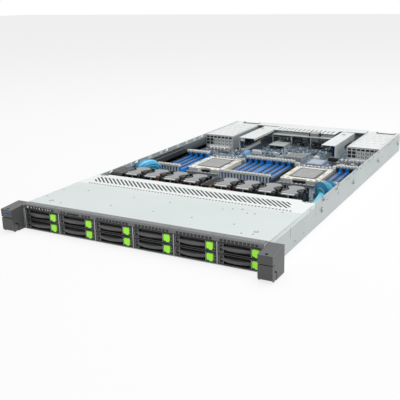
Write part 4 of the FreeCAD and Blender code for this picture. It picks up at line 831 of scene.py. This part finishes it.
def board():
    """The board, its heat sink, shield, ports, chips, chokes, cans and plugs, and a scatter of small parts."""
    piece("board_plate", Shape().extrude(moved(BOARD_OUTLINE, 0, FRONT), 7.0, BOARD_TOP), BOARD, slot="circuit_board",
          stands_for=["motherboard"])
    sink, shield, ports, tongues, chips, pins, chokes, cans = shapes(8)
    stand(sink, 40, 583, 40, 46, 3)
    for index in range(9):
        stand(sink, 20.8 + 4.8 * index, 583, 1.6, 46, 13, low=3)
    piece("chip_sink", sink, TIN, bevel=0.15)
    stand(shield, 91, 577, 34, 42, 4)
    stand(shield, 91, 577, 28, 36, 4.6, low=4)
    piece("board_shield", shield, SHIELD, bevel=0.4)

    front, back, low = REAR - 18.5, REAR - 1.5, BOARD_TOP
    for middle, width, height in PORTS:
        left, right, top, shelf = middle - width / 2, middle + width / 2, low + 0.5 + height, low + height * 0.42
        ports.block((left, front, low), (left + 1, back, top))
        ports.block((right - 1, front, low), (right, back, top))
        ports.block((left + 1, front, low), (right - 1, back, low + 0.9))
        ports.block((left + 1, front, top - 0.9), (right - 1, back, top))
        ports.block((left + 1, front, low + 0.9), (right - 1, front + 0.7, top - 0.9))
        tongues.block((left + 2.4, front + 0.7, shelf), (right - 2.4, back - 2.5, shelf + 1.8))
    piece("port_shells", ports, TIN, bevel=0.15, slot="circuit_board")
    piece("port_tongues", tongues, BLUE, bevel=0.1)

    for x, depth, wide, long, high in CHIPS:
        if free(x, depth, min(wide, long) / 2):
            stand(chips, x, depth, wide, long, high, low=0.2)
            for step in range(int(wide // 1.6)):
                for side in (-1, 1):
                    stand(pins, x - wide / 2 + 0.8 + 1.6 * step, depth + side * (long / 2 + 0.45), 0.6, 0.9, 0.8)
            take(x, depth, wide + 4, long + 4)
    piece("board_chips", chips, CHIP, bevel=0.2)
    piece("chip_pins", pins, TIN)

    for middle, _ in SOCKETS:
        for x in [middle - 34 + 8.4 * index for index in range(9)]:
            stand(chokes, x, 516, 6.6, 6.6, 6.2)
            stand(chokes, x, 391.25, 6.0, 6.5, 5.6)
            cans.turned((x, FRONT + 526), [(3.0, 0), (3.2, 0.8), (3.0, 7.4), (2.7, 7.8), (2.4, 7.6)], sides=16,
                        base=BOARD_TOP)
        take(middle, 521, 80, 20)
        take(middle, 391, 80, 10)
    for first, depth, pitch, count in CAN_ROWS:
        for x in [first + pitch * index for index in range(count)]:
            cans.turned((x, FRONT + depth), [(3.4, 0), (3.6, 0.8), (3.4, 8.4), (3.1, 8.8), (2.8, 8.6)], sides=16,
                        base=BOARD_TOP)
            take(x, depth, 9, 9)
    piece("board_chokes", chokes, PLATE, bevel=0.5)
    piece("board_cans", cans, TIN)

    for name, finish in (("white", WHITE), ("black", BLACK), ("blue", PALE_BLUE)):
        plugs = Shape()
        for x, depth, wide, long, high in PLUGS[name]:
            stand(plugs, x, depth, wide, long, high * 0.8)
            stand(plugs, x, depth, wide - 2.4, long - 2.4, high, low=high * 0.8)
            take(x, depth, wide + 2, long + 2)
        piece(f"plugs_{name}", plugs, finish, bevel=0.25)

    small = {name: Shape() for name, _, _ in KINDS}
    for left, right, near, far, count in FIELDS:
        for _ in range(count):
            x = CHANCE.uniform(left, right)
            depth = CHANCE.uniform(near, far)
            pick = CHANCE.random()
            size = CHANCE.choice((1.0, 1.0, 1.6, 2.2, 3.4))
            wide = 2 * size * CHANCE.choice((0.5, 1.0))
            long = 2 * size * CHANCE.choice((0.5, 1.0))
            high = 0.4 + size * CHANCE.uniform(0.25, 0.8)
            if not free(x, depth, size):
                continue
            for name, _, share in KINDS:
                if pick < share:
                    stand(small[name], x, depth, wide, long, high)
                    break
                pick -= share
            take(x, depth, wide, long)
    for name, finish, _ in KINDS:
        piece(f"small_{name}", small[name], finish, merge=False)


# Looms of ribbon between the backplane and the board: the places where an arch starts and ends, its
# height, and the rank and lift of each bundle

RIBBON_LAYERS = 4
RIBBON_HALF = 4.6
LOOMS = {"left": ((-200, 312), (-175, 350), 41.6, ((-1, -1), (0, 0), (1, 2))),
         "right": ((208, 318), (181, 336), 39.6, ((-1, 0), (0, 1), (1, 2)))}


def looms():
    """Ribbons that run in beside each wall, arch over towards the middle and drop into a plug."""
    section = [(-RIBBON_HALF, -0.9), (RIBBON_HALF, -0.9), (RIBBON_HALF, 0.9), (-RIBBON_HALF, 0.9)]
    low = 27.0
    for side, wall in (("left", -1), ("right", 1)):
        cyan, teal = shapes(2)
        start, end, crest, bundles = LOOMS[side]
        start, end = Vector((*start, 0)), Vector((*end, 0))
        along = (end - start).normalized()
        outward = Vector((along.y, -along.x, 0)) * wall
        for rank, lift in bundles:
            middle = (start + end) / 2 + outward * rank * RIBBON_HALF * 2.05 + Vector((0, FRONT, 0))
            run = wall * (201.5 + RIBBON_HALF * 2.05 * rank)
            for layer in range(RIBBON_LAYERS):
                shrink = layer * 3.7
                high = crest + min(lift, 0) * 0.8 - shrink
                reach = (end - start).length / 2 + lift - shrink
                path = [(run, FRONT + depth, 12 + layer * 2.0) for depth in (134, 284)]
                for step in range(19):
                    turn = math.pi * (1.12 - 1.24 * step / 18)
                    place = middle + along * reach * math.cos(turn)
                    path.append((place.x, place.y, low + (high - low) * math.sin(turn)))
                foot = middle + along * reach * 0.9
                path += [(foot.x, foot.y, height) for height in (18, 13.5)]
                (teal if (layer + rank) % 2 else cyan).swept(path, section)
        piece(f"ribbon_{side}_cyan", cyan, CYAN, bevel=0.2, slot="cable_sleeve",
              stands_for=["cables"] if side == "left" else [])
        piece(f"ribbon_{side}_teal", teal, TEAL, bevel=0.2, slot="cable_sleeve")
        plug = Shape()
        stand(plug, end.x, 349, 26, 22, 5)
        stand(plug, end.x, 349, 23, 18, 8, low=5)
        piece(f"ribbon_plug_{side}", plug, BLACK, bevel=0.3)
    for name, x, finish, height in (("dark", 214.0, BLACK, 20.0), ("yellow", 211.5, YELLOW, 17.5)):
        path = [(x, FRONT + 230, height)]
        path += [(x - 1.5 * math.sin(5 * t), FRONT + 290 + 100 * t, height + 17 * math.sin(math.pi * t) ** 0.6)
                 for t in [step / 14 for step in range(15)]]
        piece(f"wall_lead_{name}", Shape().tube(path, 1.3), finish)
    section = [(376, 20), (505, 20), (520, 24), (520, 28), (500, 31), (390, 31), (376, 28)]
    piece("wall_duct", Shape().extrude(moved(section, FRONT, 0), -213, -206, "x"), DARK, bevel=1.0)


# Risers, rear fittings and power supplies, each supply with its middle

BRIDGE_FROM_REAR = 80.0
SUPPLY_LENGTH = 185.0
SUPPLIES = {"left": -179.45, "right": 179.45}


def risers():
    """The folded brackets and boards of the CAD, with their embossing, edge slots and small parts."""
    piece("riser_brackets", copied("riser_cages", lambda low, high: high.x - low.x > 5), RISER, bevel=0.25,
          slot="riser_steel", stands_for=["riser_cages"])
    piece("riser_cards", copied("riser_cages", lambda low, high: high.x - low.x < 5), RISER_BOARD, bevel=0.1,
          slot="riser_steel")
    low, high = corners("riser_cages")
    start = low.y
    marks, bits, slots, sockets = shapes(4)
    for left, right, card, way in ((low.x, low.x + 41, low.x + 7.2, 1), (high.x - 32, high.x, high.x - 7.2, -1)):
        for depth in (26, 66, 106):
            marks.block((left + 8, start + depth, high.z), (right - 8, start + depth + 18, high.z + 0.15))
        face = card + (1.6 if way > 0 else -2.7)
        for _ in range(40):
            y = start + 6 + CHANCE.uniform(0, 88)
            z = BOARD_TOP + 3 + CHANCE.uniform(0, 22)
            bits.block((face, y, z), (face + 1.1, y + CHANCE.choice((1.5, 3, 5)), z + CHANCE.choice((1.2, 2.4))))
        slots.block((face, start + 16, 22), (face + way * 9, start + 92, 29))
        sockets.block((card - way * 4, start + 3, BOARD_TOP), (card + way * 6, start + 99, BOARD_TOP + 6))
    piece("riser_marks", marks, SILVER, bevel=0.05)
    piece("riser_plug", blocks(((low.x + 4, start - 0.6, 33.5), (low.x + 13, start + 6, 39.5))), CREAM, bevel=0.3)
    piece("riser_bits", bits, YELLOW)
    piece("riser_slots", slots, BLACK, bevel=0.4)
    piece("riser_sockets", sockets, WHITE, bevel=0.4)


def rear_fittings():
    """Latch on the bridge, a carrier for cards under it, and a low bracket on the board."""
    bridge = REAR - BRIDGE_FROM_REAR
    latch = [(-7, 22), (-1, 22), (-1, 43.6), (9, 43.6), (9, 44.4), (-5, 44.4), (-7, 42)]
    piece("bridge_latch", Shape().extrude(moved(latch, bridge, 0), 20, 42, "x"), PLATE, bevel=0.5)
    hooks = blocks(*[((x, bridge - 8, 30), (x + 2.5, bridge + 6, 44.2)) for x in (17.5, 42.0)],
                   *[((x, bridge + 6, 43.5), (x + 9, bridge + 10, 43.7)) for x in (-118, 96)])
    piece("bridge_hooks", hooks, DARK, bevel=0.2)
    posts = [((x, REAR - 96, BOARD_TOP), (x + 2, REAR - 94, 33.5)) for x in (-76, -26, 24, 74)]
    piece("card_carrier", blocks(((-76, REAR - 96, 33.5), (76, REAR - 50, 35.0)), *posts), PAN, bevel=0.3)
    legs = [((x, FRONT + 672, BOARD_TOP), (x + 1.2, FRONT + 716, 17.0)) for x in (-66, -27.2)]
    piece("board_bracket", blocks(((-66, FRONT + 672, 17.0), (-26, FRONT + 716, 18.2)), *legs), PAN, bevel=0.3)


def supply(side, middle):
    """A supply's case, with its ridges and loop on top, its front mouths, and its fan grille, inlet and catch."""
    node = f"psu_{side}"
    _, high = corners(node)
    top, front = high.z, REAR - SUPPLY_LENGTH

    def part(name, shape, finish, **more):
        """A piece that rides on this supply."""
        piece(f"supply_{side}_{name}", shape, finish, body=f"supply_{side}", **more)

    part("case", copied(node), SILVER, bevel=0.35, slot="supply_case", stands_for=[node])
    ridges, loop, mouths, grille, cave = shapes(5)
    for row, depth in enumerate((24, 50, 76, 102, 128)):
        for x in (-24, -8, 8, 24):
            left = middle + x - 5.5 + (3 if row % 2 else -3)
            ridges.block((left, front + depth, top), (left + 11, front + depth + 1.6, top + 0.3))
    for left in (middle - 33, middle + 31.5):
        ridges.block((left, front + 8, top), (left + 1.2, front + 160, top + 0.3))
    part("ridges", ridges, PAN, bevel=0.1)
    near, far, left, right = REAR - 20, REAR - 2, middle - 14, middle + 30
    loop.tube([(x, y, top + rise) for x, y, rise in (
        (left, far, -0.2), (left, near + 4, 0.6), (left + 4, near, 0.6), (right - 4, near, 0.6), (right, near + 4, 0.6),
        (right, far, -0.2))], 1.0)
    part("loop", loop, BLACK)
    part("grip", blocks(((middle - 12, high.y - 5.2, 29.8), (middle + 12, high.y - 0.1, 33.7))), BLACK, bevel=0.5)
    for column in range(7):
        x = middle - 31 + 10.2 * column
        holes = [(-3.9, 33.4, 3.9, 37.8)]
        for z in (25.2, 17.0):
            narrow = [(-3.6, z, -2.6, z + 6.4), (0.2, z + 0.4, 2.4, z + 3.2)]
            holes += narrow if column > 1 else [(-4.1, z, 4.1, z + 6.4)]
        for left, bottom, right, ceiling in holes:
            mouths.block((x + left, front - 0.12, bottom), (x + right, front + 0.3, ceiling))
    part("mouths", mouths, BLACK)
    fan = (middle + 17.5, 19.1)
    for radius in (4.5, 8, 11.5, 14.4):
        grille.turned(fan, [(radius, -1.0), (radius + 0.6, -0.6), (radius, -0.2), (radius - 0.6, -0.6), (radius, -1.0)],
                      "y", 40, REAR, caps=False)
    for turn in range(4):
        spoke = vane(fan, math.pi / 4 + math.pi / 2 * turn, ((3, -0.3), (15, -0.05), (15, 0.05), (3, 0.3)))
        grille.extrude(spoke, REAR - 1.0, REAR - 0.4, "y")
    part("grille", grille, TIN)
    inlet = middle - 18
    part("pins", blocks(*[((inlet + x - 1, REAR - 16.9, z - 2.4), (inlet + x + 1, REAR - 5, z + 2.4))
                          for x, z in ((-7, 11.6), (7, 11.6), (0, 18.6))]), TIN, bevel=0.2)
    cave.block((inlet - 13.4, REAR - 16.95, 6.7), (inlet + 13.4, REAR - 16.4, 26.0))
    cave.turned(fan, [(14.9, -3.99), (14.9, -3.6)], "y", 36, REAR)
    part("dark", cave, BLACK)
    part("catch", blocks(((middle + 33.4, REAR - 0.1, 12), (middle + 36.2, REAR + 9, 30)),
                         ((middle + 31, REAR + 7, 20), (middle + 36.2, REAR + 9, 30))), GREEN, bevel=0.4)


# Side walls: places are depth and height; marks and tabs also have their length and height or reach

STUDS = sorted({mount["pos_m"][1] / MM for mount in frame["record"]["mounts"] if "stud" in mount["name"]})
RIVETS = (30, 92, 150, 205, 262, 318, 402, 436, 512, 556, 640, 700, 760)
WALL_MARKS = [(92, 29, 0.7, 16), (205, 29, 0.7, 18), (245, 36.5, 7, 2.4), (262, 32, 5, 1.4), (317, 36, 3, 4.5),
              (180, 38, 2.5, 2.5), (471, 37, 4, 1.2), (391, 36, 5, 1.0), (548, 30, 6, 1.2), (642, 22, 6, 1.2),
              (700, 38, 5, 1.6), (112, 9, 5, 1.2), (150, 9, 3, 1.2)]
WALL_TABS = [(378, 38.4, 5.5), (423, 38.4, 5.5), (495, 38.4, 5.5), (535, 38.4, 5.5), (572, 38.4, 5.0),
             (308, 38.4, 2.2), (596, 38.4, 1.8), (603, 38.4, 1.8)]


def wall_fittings():
    """Rivets, rings round the rail studs and dark marks outside both walls, and pale tabs inside."""
    rivets, rings, marks, tabs = shapes(4)
    for side in (-1, 1):
        face = side * HALF
        for depth in RIVETS:
            rivets.turned((FRONT + depth, 30.0 if depth % 4 else 12.0),
                          [(1.6, -side * 0.05), (1.5, side * 0.25), (0.7, side * 0.4)], "x", 14, face)
        near, far = -side * 0.05, side * 0.25
        for stud in STUDS:
            rings.turned((stud, 22.0), [(4.9, near), (4.9, far), (4.2, far), (4.2, near)], "x", 24, face)
        for depth, height, long, tall in WALL_MARKS:
            y = FRONT + depth
            marks.block((face - side * 0.05, y - long / 2, height - tall / 2),
                        (face + side * 0.12, y + long / 2, height + tall / 2))
        inner = side * (HALF - 2 * SHEET)
        for depth, height, reach in WALL_TABS:
            y = FRONT + depth
            for a, b, c, d in ((-1, -1, 1, -0.35), (-1, 0.35, 1, 1), (-1, -0.35, -0.1, 0.35)):
                tabs.block((inner + side * 0.05, y + a * reach, height + b * 2.8),
                           (inner - side * 0.5, y + c * reach, height + d * 2.8))
    piece("wall_tabs", tabs, WHITE)
    piece("wall_rivets", rivets, TIN)
    piece("stud_rings", rings, DARK)
    piece("wall_marks", marks, DARK)


def plain_nodes():
    """CAD nodes that keep their shape, with their finish; the bridge is brighter than the pan."""
    bridge = 42.0
    piece("pan", copied("chassis_tray", lambda low, high: low.z < bridge), PAN, slot="zinc_steel",
          stands_for=["chassis_tray"])
    piece("bridge", copied("chassis_tray", lambda low, high: low.z > bridge), SILVER, slot="zinc_steel")
    plate = frame["nodes"]["backplane"].data
    plate.materials.clear()
    plate.materials.append(BACK_BOARD)


# Camera, floor and light, in metres; the camera was fitted to points of the photo

TARGET = Vector((32.05, FRONT + 233.39, 20.0)) * MM
AZIMUTH = math.radians(27.53)
ELEVATION = math.radians(17.24)
ROLL = math.radians(-0.92)
DISTANCE = 1163.36 * MM
FOCAL_PIXELS = 645.97
MIDDLE_PIXEL = (222.08, 197.43)
IMAGE = 400
FLOOR_REACH = 12.0
FLOOR_LEVEL = -0.0006
FLOOR_GREY = 0.86
# Strength of the surroundings as a light, and the share of the floor that looks white whatever the light
WORLD_LIGHT = 0.36
FLOOR_WHITE = 0.8


def camera():
    """The photo's camera, turned about its line of sight by ROLL."""
    back = Vector((math.sin(AZIMUTH) * math.cos(ELEVATION), -math.cos(AZIMUTH) * math.cos(ELEVATION),
                   math.sin(ELEVATION)))
    right = (-back).cross(Vector((0, 0, 1))).normalized()
    up = right.cross(-back)
    rolled_right = right * math.cos(ROLL) + up * math.sin(ROLL)
    rolled_up = up * math.cos(ROLL) - right * math.sin(ROLL)
    data = bpy.data.cameras.new("camera")
    item = placed("camera", data)
    turn = Matrix((rolled_right, rolled_up, back)).transposed().to_4x4()
    item.matrix_world = Matrix.Translation(TARGET + back * DISTANCE) @ turn
    data.sensor_width = 36.0
    data.lens = FOCAL_PIXELS / IMAGE * data.sensor_width
    data.shift_x = (IMAGE / 2 - MIDDLE_PIXEL[0]) / IMAGE
    data.shift_y = (MIDDLE_PIXEL[1] - IMAGE / 2) / IMAGE
    data.clip_start = 0.05
    data.clip_end = 100
    bpy.context.scene.camera = item


def lamp(name, at, size, power):
    """A square lamp that is aimed at the middle of the object."""
    data = bpy.data.lights.new(name, "AREA")
    data.shape = "SQUARE"
    data.size = size
    data.energy = power
    item = placed(name, data)
    item.location = at
    item.rotation_euler = (-Vector(at)).to_track_quat("-Z", "Y").to_euler()


def background_rays(tree):
    """An output that is 1 for rays that show the background: direct, mirrored or through glass."""
    rays = add(tree, "LightPath").outputs
    level = rays["Is Camera Ray"]
    for kind in ("Is Glossy Ray", "Is Transmission Ray"):
        level = add(tree, "Math", {0: level, 1: rays[kind]}, operation="MAXIMUM").outputs[0]
    return level


def studio():
    """White surroundings, a pale floor that keeps the shadow, and two lamps."""
    world = bpy.data.worlds.new("studio")
    bpy.context.scene.world = world
    world.use_nodes = True
    tree = world.node_tree
    background = tree.nodes["Background"]
    level = add(tree, "MapRange", {"To Min": WORLD_LIGHT, "To Max": 1.0, "Value": background_rays(tree)})
    background.inputs["Color"].default_value = (1, 1, 1, 1)
    tree.links.new(level.outputs[0], background.inputs["Strength"])

    ground = bpy.data.meshes.new("floor")
    ends = [(FLOOR_REACH * a, FLOOR_REACH * b, FLOOR_LEVEL) for a, b in ((-1, -1), (1, -1), (1, 1), (-1, 1))]
    ground.from_pydata(ends, [], [(0, 1, 2, 3)])
    floor = placed("floor", ground)
    paint, tree, shader = blank_material("floor_paint")
    shader.inputs["Base Color"].default_value = (FLOOR_GREY, FLOOR_GREY, FLOOR_GREY, 1)
    shader.inputs["Roughness"].default_value = 0.9
    shader.inputs["Specular IOR Level"].default_value = 0.0
    glow = add(tree, "Emission")
    part = add(tree, "Math", {0: background_rays(tree), 1: FLOOR_WHITE}, operation="MULTIPLY")
    seen = add(tree, "MixShader", {"Fac": part.outputs[0], 1: shader.outputs[0], 2: glow.outputs[0]})
    tree.links.new(seen.outputs[0], tree.nodes["Material Output"].inputs["Surface"])
    ground.materials.append(paint)

    lamp("overhead", (0.3, 0.2, 2.6), 2.2, 52)
    lamp("right", (2.6, -0.6, 1.1), 1.6, 22)
    bpy.context.scene.view_settings.view_transform = "Standard"


def main():
    """Camera and light first, and then every piece."""
    camera()
    studio()
    plain_nodes()
    front_lid()
    cage_and_bezel()
    drive_trays()
    ears()
    fans()
    memory()
    processors()
    board()
    looms()
    risers()
    rear_fittings()
    for side, middle in SUPPLIES.items():
        supply(side, middle)
    wall_fittings()


main()
